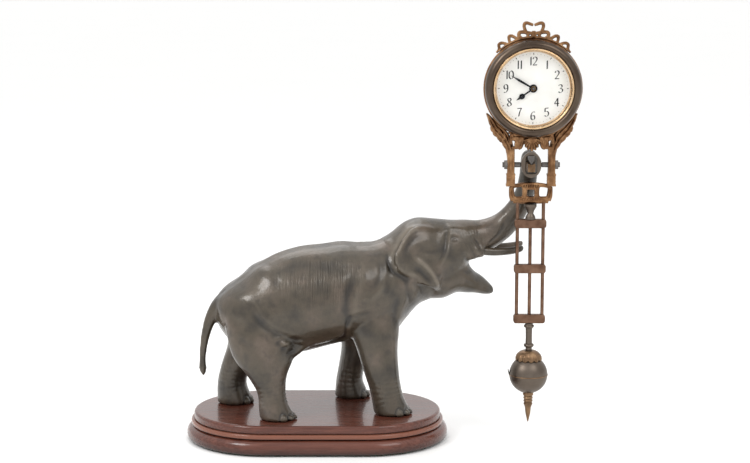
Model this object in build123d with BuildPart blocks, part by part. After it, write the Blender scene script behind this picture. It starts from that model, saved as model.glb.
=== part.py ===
from build123d import *
import math
import os

# An elephant on a moulded wooden plinth holds a swinging clock on its trunk.
# Millimetres. X runs along the plinth, Y away from the viewer, Z up.
# The origin is the middle of the plinth's underside.

# Fits
slip = 0.02
run = 0.05

# Plinth
plinth_len = 180.0
plinth_w = 114.0
plinth_top = 20.0
felt_t = 1.0
felt_inset = 4.0
torus_h = 9.8
torus_round = 6.0
torus_foot = 2.6
groove_h = 0.8
groove_in = 5.8
bead_h = 2.8
bead_in = 3.0
neck_in = 6.6
slab_h = 4.8
slab_in = 5.0
slab_round = 1.9

# Elephant
yaw = 10.0
shoulder = 116.0
drawn_shoulder = 116.0
tusk_r = 3.6
tusk_len = 30.0
tusk_straight = 0.55
tusk_spread = 9.6
tusk_x = 105.0
tusk_z = 108.5
tail_r = 4.2
tail_x = -56.0
tail_z = 80.0
tail_drop = 32.0
tail_root_len = 18.6
tail_socket = 30.0
ear_half_t = 1.5
ear_lean = 12.0
ear_roll = 10.0
ear_hinge_x = 86.0
ear_hinge_y = 18.0
ear_hinge_z = 104.0
foot_bolt_r = 2.0
foot_bolt_depth = 16.0
bolt_head_r = 4.0
bolt_head_h = 3.0
washer_r = 5.5
washer_t = 1.2
bolt_play = 0.3
pocket_play = 0.5
pocket_spare = 0.6

# Clock position and suspension: trunk reach and knife height are those of the drawn elephant
trunk_reach = 146.0
pivot_h = 169.2
head_back = 2.0
pivot_drop = 52.3
knife_w = 4.0
knife_len = 7.0
window_w = 8.0
window_h = 12.6
ring_w = 13.8
ring_h = 17.6
ring_t = 4.0
seat_w = 5.0
seat_h = 5.4
seat_front = 4.2
seat_depth = 12.5
seat_groove = 0.8
seat_screw_r = 1.2
seat_screw_len = 5.5
seat_screw_in = 3.6
slot_w = 0.5
slot_deep = 0.8
trunk_back = 13.5
trunk_tip_r = 6.2
screw_r = 1.8
cone_h = 1.6
screw_shy = 0.6
screw_proud = 1.2
nut_r = 3.3
nut_t = 2.0

# Clock case, along its own axis: plus is towards the viewer
rim_r = 33.3
rim_w = 4.0
rim_over = 2.8
wall = 0.55
drum_back = -16.0
drum_front = 11.0
ledge_in = 3.0
ledge_h = 3.2
dial_t = 0.6
dial_hole = 2.8
bezel_step = 0.8
bezel_w = 6.7
bezel_h = 7.0
bezel_wall = 1.2
glass_t = 1.3
glass_rise = 1.2
glass_lap = 0.9
sight_w = 1.2
sight_h = 2.2
cover_t = 0.6
cover_rim = 3.0

# Movement
plate_t = 1.0
wheel_t = 1.0
plates_gap = 15.0
arbor_r = 0.6
centre_r = 1.0
pillar_r = 1.6
weight_r = 5.4
weight_at = 20.5
weight_angle = -35.0
mod_a = 0.5
mod_b = 0.4
mod_c = 0.35
barrel_r = 11.0
barrel_h = 6.5
barrel_wall = 0.7
barrel_arbor_r = 1.2
train_t = 1.0
ratchet_r = 5.5
escape_r = 6.9
drawn_escape_r = 6.9
drive_len = 16.0
key_h = 7.0
key_r = 2.4
knob_r = 4.0
knob_h = 4.2
stud_r = 0.8
minute_len = 17.8
hour_len = 14.0
hand_t = 0.35

# Frame under the clock
frame_t = 5.0
post_x = 13.8
post_w = 4.9
post_foot = 67.0
foot_h = 8.0
foot_w = 6.4
web_h = 9.0
apron_t = 2.0
mount_h = 12.3
mount_w = 29.0
mount_t = 4.0
cup_h = 10.3
cup_r = 4.2
rod_r = 1.2
rod_x = 8.8
bar_len = 21.8
bar_h = 6.2
bar_t = 4.4
upper_share = 0.4655
tip_clear = 10.05
neck_h = 22.8
spindle_r = 2.2
collar_r = 3.5
collar_h = 2.4
waist_r = 2.35
ring_at = 14.3
bob_r = 13.2
bob_flat = 12.5
cap_r = 9.0
cap_h = 4.4
finial_r = 2.9
finial_h = 21.0
finial_thread = 9.0
crest_t = 3.0
crest_h = 12.0

os.makedirs("parts", exist_ok=True)

# Derived levels and planes
es = shoulder / drawn_shoulder
clock_x = trunk_reach * es
pivot_z = plinth_top + pivot_h * es
dial_z = pivot_z + pivot_drop
drum_r = rim_r - rim_over
bezel_r = rim_r - bezel_step
bezel_in = bezel_r - bezel_w
sight_in = bezel_in - sight_w
clock = Plane(origin=(clock_x, head_back, dial_z), x_dir=(1, 0, 0), z_dir=(0, -1, 0))
stem = Plane(origin=(clock_x, 0, dial_z), x_dir=(1, 0, 0), z_dir=(0, -1, 0))
pivot = Plane(origin=(clock_x, 0, pivot_z), x_dir=(1, 0, 0), z_dir=(0, -1, 0))
cos_y = math.cos(math.radians(yaw))
sin_y = math.sin(math.radians(yaw))
beast = Plane(origin=(0, 0, plinth_top), x_dir=(cos_y, sin_y, 0), z_dir=(0, 0, 1))


def to_beast(x, y, z):
    """World point to the elephant's own frame."""
    return (x * cos_y + y * sin_y, y * cos_y - x * sin_y, z - plinth_top)


def upright(x, y, z):
    """Plane across the elephant's length at a point of its own frame."""
    return Plane(origin=beast.from_local_coords((x, y, z)), x_dir=beast.y_dir, z_dir=beast.x_dir)


def level(x, y, z):
    """Level plane at a point of the elephant's own frame."""
    return Plane(origin=beast.from_local_coords((x, y, z)), x_dir=beast.x_dir, z_dir=(0, 0, 1))


def across(points, i):
    """Plane across a line of points at one of them."""
    a = Vector(*points[max(i - 1, 0)][:3])
    b = Vector(*points[min(i + 1, len(points) - 1)][:3])
    d = beast.from_local_coords(b) - beast.from_local_coords(a)
    return Plane(origin=beast.from_local_coords(points[i][:3]), x_dir=beast.y_dir, z_dir=d)


def spot(start, distance, angle):
    """Point at a distance and an angle from another."""
    turn = math.radians(angle)
    return (start[0] + distance * math.cos(turn), start[1] + distance * math.sin(turn))


def teeth(count, module, phase):
    """Outline of a toothed wheel with one tooth centred on the phase angle."""
    pitch = 2 * math.pi / count
    r = count * module / 2
    tip = r + 0.6 * module
    root = r - 0.9 * module
    pts = []
    for i in range(count):
        a = math.radians(phase) + i * pitch
        for radius, turn in ((root, -0.24), (tip, -0.11), (tip, 0.11), (root, 0.24)):
            pts.append((radius * math.cos(a + turn * pitch), radius * math.sin(a + turn * pitch)))
    return pts


hub = (0.0, 0.0)

# Wooden plinth: torus, groove, bead, neck and top slab, all of one stadium
bead_z = felt_t + torus_h + groove_h
neck_z = bead_z + bead_h
slab_z = plinth_top - slab_h

with BuildPart() as plinth:
    with BuildSketch(Plane.XY.offset(felt_t)):
        SlotOverall(plinth_len, plinth_w)
    extrude(amount=torus_h)
    fillet(plinth.faces().sort_by(Axis.Z)[-1].edges(), torus_round)
    fillet(plinth.faces().sort_by(Axis.Z)[0].edges(), torus_foot)
    with BuildSketch(Plane.XY.offset(felt_t + torus_h)):
        SlotOverall(plinth_len - 2 * groove_in, plinth_w - 2 * groove_in)
    extrude(amount=groove_h)
    with BuildSketch(Plane.XY.offset(bead_z)):
        SlotOverall(plinth_len - 2 * bead_in, plinth_w - 2 * bead_in)
    extrude(amount=bead_h)
    fillet(plinth.faces().sort_by(Axis.Z)[-1].edges(), bead_h * 0.48)
    with BuildSketch(Plane.XY.offset(neck_z)):
        SlotOverall(plinth_len - 2 * neck_in, plinth_w - 2 * neck_in)
    extrude(amount=slab_z - neck_z)
    with BuildSketch(Plane.XY.offset(slab_z)):
        SlotOverall(plinth_len - 2 * slab_in, plinth_w - 2 * slab_in)
    extrude(amount=slab_h)
    fillet(plinth.faces().sort_by(Axis.Z)[-1].edges(), slab_round)

# Middle of each sole in the elephant's own frame: near fore, far fore, near hind, far hind
soles = [(49.0, -25.5), (29.5, 28.0), (-30.0, -26.0), (-54.0, 25.0)]
foot_spots = [beast.from_local_coords((x * es, y * es, 0)) for x, y in soles]
bolt_spots = [(p.X, p.Y) for p in foot_spots]
pocket_h = bolt_head_h + washer_t + pocket_spare

with plinth:
    with BuildSketch(Plane.XY.offset(felt_t)):
        with Locations(*bolt_spots):
            Circle(washer_r + pocket_play)
    extrude(amount=pocket_h, mode=Mode.SUBTRACT)
    with BuildSketch(Plane.XY.offset(felt_t)):
        with Locations(*bolt_spots):
            Circle(foot_bolt_r + bolt_play)
    extrude(amount=plinth_top, mode=Mode.SUBTRACT)

plinth.part.label = "plinth"
export_step(plinth.part, "parts/plinth.step")

with BuildPart() as base_felt:
    with BuildSketch(Plane.XY):
        SlotOverall(plinth_len - 2 * felt_inset, plinth_w - 2 * felt_inset)
    extrude(amount=felt_t)

base_felt.part.label = "base_felt"
export_step(base_felt.part, "parts/base_felt.step")

# Elephant casting: upright oval sections from the rump to the upper lip
body_line = [
    (-69.3, 70.5, 9.5, 7.5),
    (-66.5, 70.0, 15.0, 11.5),
    (-58.0, 68.3, 24.5, 20.2),
    (-46.0, 69.8, 30.5, 27.7),
    (-30.0, 73.7, 33.5, 33.7),
    (-12.0, 76.7, 34.8, 36.2),
    (4.0, 79.2, 34.6, 35.2),
    (17.0, 81.3, 33.6, 34.5),
    (30.0, 81.9, 32.4, 32.8),
    (42.0, 83.2, 30.0, 32.4),
    (52.0, 87.2, 27.6, 33.8),
    (61.0, 96.0, 24.8, 32.0),
    (70.0, 102.5, 23.0, 28.8),
    (82.0, 104.0, 21.3, 26.4),
    (94.0, 107.5, 18.4, 21.6),
    (103.5, 113.2, 15.2, 15.8),
    (111.0, 116.0, 12.6, 12.4),
]
with BuildPart() as elephant_body:
    for x, z, half_w, half_h in body_line:
        with BuildSketch(upright(x * es, 0, z * es)):
            Ellipse(half_w * es, half_h * es)
    loft()

# Trunk: round sections along a line that climbs from the head to the clock
tip_x, tip_y, tip_z = to_beast(clock_x, trunk_back, pivot_z)
trunk_root = [
    (103.0, 0, 115.0, 12.0),
    (113.0, 0, 116.4, 12.1),
    (122.5, -0.6, 119.8, 10.5),
    (131.0, -2.2, 125.4, 9.2),
    (138.0, -4.8, 134.0, 8.0),
]
trunk_line = [tuple(v * es for v in s) for s in trunk_root] + [
    (tip_x - 2.6, tip_y + 5.0, tip_z - 24.0, 7.0),
    (tip_x - 0.6, tip_y + 1.8, tip_z - 12.0, 6.4),
    (tip_x, tip_y, tip_z, trunk_tip_r),
    (tip_x, tip_y, tip_z + 7.5, trunk_tip_r),
]
with elephant_body:
    for i in range(len(trunk_line)):
        with BuildSketch(across(trunk_line, i)):
            Circle(trunk_line[i][3])
    loft()

# Legs: level ovals from inside the body down to the sole
legs = [
    [(40, -12, 80, 15, 11), (37, -17, 62, 17.5, 13), (38.5, -20.5, 45, 14.2, 12.2),
     (40.5, -23, 30, 10.8, 10.9), (43.8, -24.5, 17, 9.4, 10.2), (46, -25, 8, 10.6, 11),
     (49, -25.5, 0, 13.2, 12.2)],
    [(36, 12, 80, 15, 11), (33, 18, 60, 15.5, 12.5), (31.5, 23, 39, 10.8, 11.2),
     (28.6, 25.5, 24, 9.4, 10.2), (27, 27, 12, 9.6, 10.2), (29.5, 28, 0, 12.8, 12)],
    [(-36, -10, 84, 14, 10), (-41, -17, 64, 22.5, 14.5), (-40.5, -21.5, 43, 19, 13.8),
     (-37.6, -23.5, 30, 12.6, 11.6), (-34.6, -24.5, 18, 9.7, 10.3), (-33, -25, 8, 10.4, 11),
     (-30, -26, 0, 13, 12)],
    [(-40, 10, 84, 13, 10), (-45, 17.5, 62, 18.5, 14), (-51, 22, 40, 12.6, 12),
     (-55.6, 23.5, 25, 9.6, 10.4), (-57.4, 24.5, 12, 9.6, 10.2), (-54, 25, 0, 13, 12)],
]
for leg in legs:
    with elephant_body:
        for x, y, z, half_l, half_w in leg:
            with BuildSketch(level(x * es, y * es, z * es)):
                Ellipse(half_l * es, half_w * es)
        loft()

# Lower jaw
jaw_line = [(84, 90, 14, 13), (96, 89.5, 12, 11), (104, 89.4, 9.8, 9.3), (110.5, 88.2, 7.6, 7.4),
            (116, 86, 5.6, 5.6), (120, 83.4, 4.0, 3.7), (123, 81.3, 2.4, 2.0)]
with elephant_body:
    for x, z, half_w, half_h in jaw_line:
        with BuildSketch(upright(x * es, 0, z * es)):
            Ellipse(half_w * es, half_h * es)
    loft()

# Ears: slabs that lean out from the head, cast with it
ear_edge = [(88, 120), (80, 125.6), (70, 127.8), (61, 125), (53.5, 117), (49, 109.5), (51.5, 104),
            (58, 99.5), (66, 95), (75, 92), (83.5, 88.8), (84.5, 95), (87, 108)]
roll_cos = math.cos(math.radians(ear_roll))
roll_sin = math.sin(math.radians(ear_roll))
for side in (-1, 1):
    turn = math.radians(yaw - side * ear_lean)
    ear_plane = Plane(
        origin=beast.from_local_coords((ear_hinge_x * es, side * ear_hinge_y * es, ear_hinge_z * es)),
        x_dir=(math.cos(turn), math.sin(turn), 0),
        z_dir=(math.sin(turn) * roll_cos, -math.cos(turn) * roll_cos, -side * roll_sin),
    )
    stretch = es / math.cos(math.radians(ear_lean))
    rise = es / roll_cos
    ear_points = [((x - ear_hinge_x) * stretch, (z - ear_hinge_z) * rise) for x, z in ear_edge]
    with elephant_body:
        with BuildSketch(ear_plane):
            with BuildLine():
                Spline(*ear_points, periodic=True)
            make_face()
        extrude(amount=ear_half_t * es, both=True)

# Sockets for the tusks, the tail, the seat and the foot bolts
seat_top = pivot_z + seat_groove
tusk_root_x = tusk_x * es
tusk_root_z = tusk_z * es
for side in (-1, 1):
    with elephant_body:
        with BuildSketch(upright(tusk_root_x, side * tusk_spread * es, tusk_root_z)):
            Circle(tusk_r + slip)
        extrude(amount=tusk_len, mode=Mode.SUBTRACT)

tail_turn = math.radians(tail_drop)
tail_plane = Plane(
    origin=beast.from_local_coords((tail_x * es, 0, tail_z * es)),
    x_dir=beast.y_dir,
    z_dir=(-cos_y * math.cos(tail_turn), -sin_y * math.cos(tail_turn), -math.sin(tail_turn)),
)
with elephant_body:
    with BuildSketch(tail_plane):
        Circle(tail_r + slip)
    extrude(amount=tail_socket * es, mode=Mode.SUBTRACT)
    with BuildSketch(Plane.XZ.offset(-seat_depth)):
        with Locations((clock_x, seat_top - seat_h / 2)):
            Rectangle(seat_w + 2 * slip, seat_h + 2 * slip)
    extrude(amount=2 * seat_depth, mode=Mode.SUBTRACT)
    with BuildSketch(Plane.XY.offset(seat_top - seat_groove)):
        with Locations((clock_x, trunk_back - seat_screw_in)):
            Circle(seat_screw_r + slip)
    extrude(amount=4 * seat_screw_len, mode=Mode.SUBTRACT)
    with BuildSketch(Plane.XY.offset(plinth_top - 1)):
        with Locations(*bolt_spots):
            Circle(foot_bolt_r + slip)
    extrude(amount=foot_bolt_depth + 1, mode=Mode.SUBTRACT)

elephant_body.part.label = "elephant_body"
export_step(elephant_body.part, "parts/elephant_body.step")

# Tusks: a round root in the head, then a taper that rises to a blunt tip
for side, name in ((-1, "right_tusk"), (1, "left_tusk")):
    tusk_y = side * tusk_spread * es
    tusk_line = [
        (tusk_straight, 0, 0, 1.0),
        (0.76, 0.3, 0.2, 0.93),
        (0.95, 0.9, 0.9, 0.77),
        (1.12, 1.3, 1.8, 0.56),
        (1.20, 1.4, 2.3, 0.30),
    ]
    with BuildPart() as tusk:
        with BuildSketch(upright(tusk_root_x, tusk_y, tusk_root_z)):
            Circle(tusk_r)
        extrude(amount=tusk_straight * tusk_len)
        for share, out, rise, taper in tusk_line:
            reach = tusk_root_x + share * tusk_len
            with BuildSketch(upright(reach, tusk_y + side * out, tusk_root_z + rise)):
                Circle(tusk_r * taper)
        loft()
    tusk.part.label = name
    export_step(tusk.part, "parts/" + name + ".step")

# Tail: a round root in the rump, then a hanging taper with a tuft
tail_line = [(-71.8, 0, 70, 4.2), (-74.6, -0.2, 64.5, 3.8), (-76.6, -0.6, 56, 3.2), (-78.2, -1, 46, 2.6),
             (-79, -1.5, 37, 2.3), (-78.9, -2, 31, 2.7), (-78.3, -2, 26, 0.9)]
tail_line = [tuple(v * es for v in s) for s in tail_line]
with BuildPart() as tail:
    with BuildSketch(tail_plane):
        Circle(tail_r)
    extrude(amount=tail_root_len * es)
    with BuildSketch(tail_plane.offset(tail_root_len * es)):
        Circle(tail_r)
    for i in range(1, len(tail_line)):
        with BuildSketch(across(tail_line, i)):
            Circle(tail_line[i][3])
    loft()
tail.part.label = "tail"
export_step(tail.part, "parts/tail.step")

# Bolts that come up through the plinth into the four soles, with their washers
bolt_seat = felt_t + pocket_h
with BuildPart() as foot_bolts:
    with BuildSketch(Plane.XY.offset(bolt_seat - washer_t - bolt_head_h)):
        with Locations(*bolt_spots):
            RegularPolygon(bolt_head_r, 6)
    extrude(amount=bolt_head_h)
    with BuildSketch(Plane.XY.offset(bolt_seat - washer_t)):
        with Locations(*bolt_spots):
            Circle(foot_bolt_r)
    extrude(amount=plinth_top - bolt_seat + washer_t + foot_bolt_depth)
foot_bolts.part.label = "foot_bolts"
export_step(foot_bolts.part, "parts/foot_bolts.step")

with BuildPart() as foot_washers:
    with BuildSketch(Plane.XY.offset(bolt_seat - washer_t)):
        with Locations(*bolt_spots):
            Circle(washer_r)
            Circle(foot_bolt_r + bolt_play, mode=Mode.SUBTRACT)
    extrude(amount=washer_t)
foot_washers.part.label = "foot_washers"
export_step(foot_washers.part, "parts/foot_washers.step")

# Brass seat let into the trunk tip, with a groove for the knife edge
with BuildPart() as seat_block:
    with BuildSketch(Plane.XZ.offset(-seat_depth)):
        with Locations((clock_x, seat_top - seat_h / 2)):
            Rectangle(seat_w, seat_h)
        with BuildLine():
            Polyline(
                (clock_x, pivot_z - slip),
                (clock_x - 1.7 * seat_groove, seat_top + slip),
                (clock_x + 1.7 * seat_groove, seat_top + slip),
                close=True,
            )
        make_face(mode=Mode.SUBTRACT)
    extrude(amount=seat_depth + seat_front)
seat_block.part.label = "seat_block"
export_step(seat_block.part, "parts/seat_block.step")

with BuildPart() as seat_screw:
    with BuildSketch(Plane.XY.offset(seat_top)):
        with Locations((clock_x, trunk_back - seat_screw_in)):
            Circle(seat_screw_r)
    extrude(amount=seat_screw_len)
    with BuildSketch(Plane.XY.offset(seat_top + seat_screw_len)):
        with Locations((clock_x, trunk_back - seat_screw_in)):
            Rectangle(3 * seat_screw_r, slot_w)
    extrude(amount=-slot_deep, mode=Mode.SUBTRACT)
seat_screw.part.label = "seat_screw"
export_step(seat_screw.part, "parts/seat_screw.step")

# Hanger ring that rocks on the seat, with a cone dimple in each flank
cone_end = 0.12
from_base = (Align.CENTER, Align.CENTER, Align.MIN)
with BuildPart() as hanger_ring:
    with BuildSketch(pivot.offset(-ring_t / 2)):
        Ellipse(ring_w / 2, ring_h / 2)
        RectangleRounded(window_w, window_h, window_w * 0.24, mode=Mode.SUBTRACT)
    extrude(amount=ring_t)
    for side in (-1, 1):
        with Locations(Location((clock_x + side * ring_w / 2, 0, pivot_z), (0, -90 * side, 0))):
            Cone(screw_r * 0.75, cone_end, cone_h, align=from_base, mode=Mode.SUBTRACT)
hanger_ring.part.label = "hanger_ring"
export_step(hanger_ring.part, "parts/hanger_ring.step")

with BuildPart() as knife_edge:
    with BuildSketch(pivot.offset(-knife_len / 2)):
        with BuildLine():
            Polyline(
                (-knife_w / 2, window_h / 2),
                (-knife_w / 2, knife_w * 0.86),
                (0, 0),
                (knife_w / 2, knife_w * 0.86),
                (knife_w / 2, window_h / 2),
                close=True,
            )
        make_face()
    extrude(amount=knife_len)
knife_edge.part.label = "knife_edge"
export_step(knife_edge.part, "parts/knife_edge.step")

# Pivot screws through the two posts, cone tips in the ring, and their lock nuts
post_out = post_x + post_w / 2
screw_out = post_out + nut_t + screw_proud
cone_base = ring_w / 2 + screw_shy
with BuildPart() as pivot_screws:
    for side in (-1, 1):
        with Locations(Location((clock_x + side * screw_out, 0, pivot_z), (0, -90 * side, 0))):
            Cylinder(screw_r, screw_out - cone_base, align=from_base)
        with Locations(Location((clock_x + side * cone_base, 0, pivot_z), (0, -90 * side, 0))):
            Cone(screw_r, cone_end, cone_h + screw_shy - 0.2, align=from_base)
pivot_screws.part.label = "pivot_screws"
export_step(pivot_screws.part, "parts/pivot_screws.step")

with BuildPart() as lock_nuts:
    for side in (-1, 1):
        nut_at = (clock_x + side * post_out, 0, pivot_z)
        nut_plane = Plane(origin=nut_at, x_dir=(0, 1, 0), z_dir=(side, 0, 0))
        with BuildSketch(nut_plane):
            RegularPolygon(nut_r, 6)
            Circle(screw_r + slip, mode=Mode.SUBTRACT)
        extrude(amount=nut_t)
lock_nuts.part.label = "lock_nuts"
export_step(lock_nuts.part, "parts/lock_nuts.step")

# Planes and levels of the clock: axial is cut through the axis, radius against depth
axial = Plane(origin=(clock_x, head_back, dial_z), x_dir=(1, 0, 0), z_dir=(0, 0, -1))
clock_axis = Axis((clock_x, 0, dial_z), (0, -1, 0))
drum_in = drum_r - wall
ledge_front = drum_front - dial_t
ledge_back = ledge_front - ledge_h
plate_front = ledge_back - plate_t
plate_back = plate_front - plates_gap

with BuildPart() as case_drum:
    with BuildSketch(axial):
        with BuildLine():
            Polyline(
                (drum_r, drum_back),
                (drum_r, drum_front),
                (drum_in, drum_front),
                (drum_in, ledge_front),
                (drum_in - ledge_in, ledge_front),
                (drum_in - ledge_in, ledge_back),
                (drum_in, ledge_back),
                (drum_in, drum_back),
                close=True,
            )
        make_face()
    revolve(axis=clock_axis)
case_spots = [spot(hub, drum_in - ledge_in / 2, a) for a in (30, 150, 270)]
with case_drum:
    with BuildSketch(clock.offset(ledge_back)):
        with Locations(*case_spots):
            Circle(stud_r + slip)
    extrude(amount=ledge_h * 0.8, mode=Mode.SUBTRACT)
case_drum.part.label = "case_drum"
export_step(case_drum.part, "parts/case_drum.step")

with BuildPart() as dial:
    with BuildSketch(clock.offset(ledge_front)):
        Circle(drum_in - slip)
        Circle(dial_hole, mode=Mode.SUBTRACT)
    extrude(amount=dial_t)
dial.part.label = "dial"
export_step(dial.part, "parts/dial.step")

with BuildPart() as gilt_rim:
    with BuildSketch(axial):
        with BuildLine():
            Polyline(
                (drum_r + slip, drum_front - rim_w),
                (rim_r - 1.2, drum_front - rim_w),
                (rim_r, drum_front - rim_w + 1.2),
                (rim_r, drum_front - 1.0),
                (rim_r - 0.8, drum_front),
                (drum_r + slip, drum_front),
                close=True,
            )
        make_face()
    revolve(axis=clock_axis)
gilt_rim.part.label = "gilt_rim"
export_step(gilt_rim.part, "parts/gilt_rim.step")

# Bezel: a hollow rounded ring with a lip that holds the glass
bore = bezel_in + glass_lap
lip = drum_front + sight_h + glass_t
bezel_top = drum_front + bezel_h
with BuildPart() as bezel:
    with BuildSketch(axial):
        with BuildLine():
            Polyline(
                (bezel_r - 2.2, bezel_top - 0.7),
                (bezel_r - 3.6, bezel_top),
                (bezel_in + 2.4, bezel_top),
                (bezel_in, lip + 0.9),
                (bezel_in, lip),
                (bore, lip),
                (bore, drum_front),
                (bore + 1.0, drum_front),
                (bore + 1.0, lip),
                (bezel_in + 2.8, bezel_top - bezel_wall),
                (bezel_r - 3.8, bezel_top - bezel_wall),
                (bezel_r - 1.4, drum_front + 3.6),
                (bezel_r - 1.0, drum_front + 1.0),
                (drum_in - 0.4, drum_front + 1.0),
                (drum_in - 0.4, drum_front),
                (bezel_r, drum_front),
            )
            ThreePointArc(
                (bezel_r, drum_front),
                (bezel_r - 0.35, drum_front + bezel_h * 0.55),
                (bezel_r - 2.2, bezel_top - 0.7),
            )
        make_face()
    revolve(axis=clock_axis)
bezel.part.label = "bezel"
export_step(bezel.part, "parts/bezel.step")

with BuildPart() as sight_ring:
    with BuildSketch(axial):
        with BuildLine():
            Polyline(
                (sight_in, drum_front),
                (bore - slip, drum_front),
                (bore - slip, drum_front + sight_h),
                (bezel_in - 0.3, drum_front + sight_h),
                close=True,
            )
        make_face()
    revolve(axis=clock_axis)
sight_ring.part.label = "sight_ring"
export_step(sight_ring.part, "parts/sight_ring.step")

with BuildPart() as crystal:
    edge = bezel_in - 0.4
    low = drum_front + sight_h
    bulge = 0.75 * glass_rise
    with BuildSketch(axial):
        with BuildLine():
            Line((0, low + glass_rise), (0, lip + glass_rise))
            Spline(
                (0, lip + glass_rise), (edge / 2, lip + bulge), (edge, lip), tangents=[(1, 0), (1, -0.094)]
            )
            Polyline((edge, lip), (bore - slip, lip), (bore - slip, low), (edge, low))
            Spline(
                (edge, low), (edge / 2, low + bulge), (0, low + glass_rise), tangents=[(-1, 0.094), (-1, 0)]
            )
        make_face()
    revolve(axis=clock_axis)
crystal.part.label = "crystal"
export_step(crystal.part, "parts/crystal.step")

# Train positions on the plates, measured from the dial centre
motion_angle = -40.0
barrel_angle = 225.0
third_angle = 60.0
escape_angle = 167.0
cannon_n, minute_n, mpinion_n, hour_n = 12, 36, 12, 48
barrel_n, cpinion_n, centre_n, tpinion_n, third_n, epinion_n = 60, 10, 64, 8, 60, 8
mod_h = mod_a * (cannon_n + minute_n) / (mpinion_n + hour_n)
motion_at = spot(hub, (cannon_n + minute_n) * mod_a / 2, motion_angle)
barrel_at = spot(hub, (barrel_n + cpinion_n) * mod_b / 2, barrel_angle)
third_at = spot(hub, (centre_n + tpinion_n) * mod_b / 2, third_angle)
escape_at = spot(third_at, (third_n + epinion_n) * mod_c / 2, escape_angle)
anchor_at = (escape_at[0], escape_at[1] + 1.36 * escape_r)
pillar_at = [spot(hub, drum_in - 4.3, a) for a in (10, 165, 285)]

with BuildPart() as rear_cover:
    with BuildSketch(axial):
        with BuildLine():
            Polyline(
                (0, drum_back - cover_t),
                (drum_r, drum_back - cover_t),
                (drum_r, drum_back),
                (drum_in - slip, drum_back),
                (drum_in - slip, drum_back + cover_rim),
                (drum_in - 0.8, drum_back + cover_rim),
                (drum_in - 0.8, drum_back),
                (0, drum_back),
                close=True,
            )
        make_face()
    revolve(axis=clock_axis)
    with BuildSketch(clock.offset(drum_back)):
        Circle(centre_r + 0.8)
        with Locations(barrel_at):
            Circle(barrel_arbor_r + 0.8)
    extrude(amount=2 * cover_t, both=True, mode=Mode.SUBTRACT)
rear_cover.part.label = "rear_cover"
export_step(rear_cover.part, "parts/rear_cover.step")

with BuildPart() as front_plate:
    with BuildSketch(clock.offset(plate_front)):
        Circle(drum_in - 0.3)
        Circle(centre_r + run, mode=Mode.SUBTRACT)
        with Locations(*case_spots):
            Circle(stud_r + slip, mode=Mode.SUBTRACT)
        with Locations(third_at, escape_at, anchor_at, barrel_at):
            Circle(arbor_r + run, mode=Mode.SUBTRACT)
    extrude(amount=plate_t)
    with BuildSketch(clock.offset(plate_front)):
        with Locations(motion_at):
            Circle(stud_r)
    extrude(amount=plate_t + 2 * wheel_t + 0.7)
front_plate.part.label = "front_plate"
export_step(front_plate.part, "parts/front_plate.step")

with BuildPart() as back_plate:
    with BuildSketch(clock.offset(plate_back)):
        Circle(drum_in - 2.2)
        Circle(centre_r + run, mode=Mode.SUBTRACT)
        with Locations(*pillar_at):
            Circle(stud_r + slip, mode=Mode.SUBTRACT)
        with Locations(third_at, escape_at, anchor_at):
            Circle(arbor_r + run, mode=Mode.SUBTRACT)
        with Locations(barrel_at):
            Circle(barrel_arbor_r + run, mode=Mode.SUBTRACT)
    extrude(amount=-plate_t)
back_plate.part.label = "back_plate"
export_step(back_plate.part, "parts/back_plate.step")

with BuildPart() as pillars:
    with BuildSketch(clock.offset(plate_back)):
        with Locations(*pillar_at):
            Circle(pillar_r)
    extrude(amount=plates_gap)
    with BuildSketch(clock.offset(plate_back)):
        with Locations(*pillar_at):
            Circle(stud_r + slip)
    extrude(amount=5, mode=Mode.SUBTRACT)
pillars.part.label = "pillars"
export_step(pillars.part, "parts/pillars.step")

# Weight that balances the barrel, so that the clock hangs straight
with BuildPart() as balance_weight:
    with BuildSketch(clock.offset(plate_back)):
        with Locations(spot(hub, weight_at, weight_angle)):
            Circle(weight_r)
    extrude(amount=plates_gap)
balance_weight.part.label = "balance_weight"
export_step(balance_weight.part, "parts/balance_weight.step")

# Screws of the movement: three at the pillars, three into the ledge of the drum
with BuildPart() as movement_screws:
    with BuildSketch(clock.offset(plate_back - plate_t)):
        with Locations(*pillar_at):
            Circle(stud_r)
    extrude(amount=plate_t + 4)
    with BuildSketch(clock.offset(plate_back - plate_t)):
        with Locations(*pillar_at):
            Circle(2 * stud_r)
    extrude(amount=-0.9)
    with BuildSketch(clock.offset(plate_front)):
        with Locations(*case_spots):
            Circle(stud_r)
    extrude(amount=plate_t + ledge_h * 0.7)
    with BuildSketch(clock.offset(plate_front)):
        with Locations(*case_spots):
            Circle(1.6 * stud_r)
    extrude(amount=-0.8)
movement_screws.part.label = "movement_screws"
export_step(movement_screws.part, "parts/movement_screws.step")

# Motion work between the front plate and the dial
motion_z = plate_front + plate_t + 0.3
hour_z = motion_z + wheel_t + 0.3
hour_seat = drum_front + 0.5
minute_seat = hour_seat + hand_t + 0.45
pipe_r = centre_r + 0.4
knob_z = drum_back - cover_t - 0.5

with BuildPart() as centre_arbor:
    with BuildSketch(clock.offset(knob_z - knob_h + 0.6)):
        Circle(centre_r)
    extrude(amount=minute_seat + 0.9 - knob_z + knob_h - 0.6)
    with BuildSketch(clock.offset(motion_z)):
        with BuildLine():
            Polyline(*teeth(cannon_n, mod_a, motion_angle), close=True)
        make_face()
    extrude(amount=wheel_t)
    with BuildSketch(clock.offset(motion_z)):
        Circle(pipe_r)
    extrude(amount=minute_seat - motion_z)
centre_arbor.part.label = "centre_arbor"
export_step(centre_arbor.part, "parts/centre_arbor.step")

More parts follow.
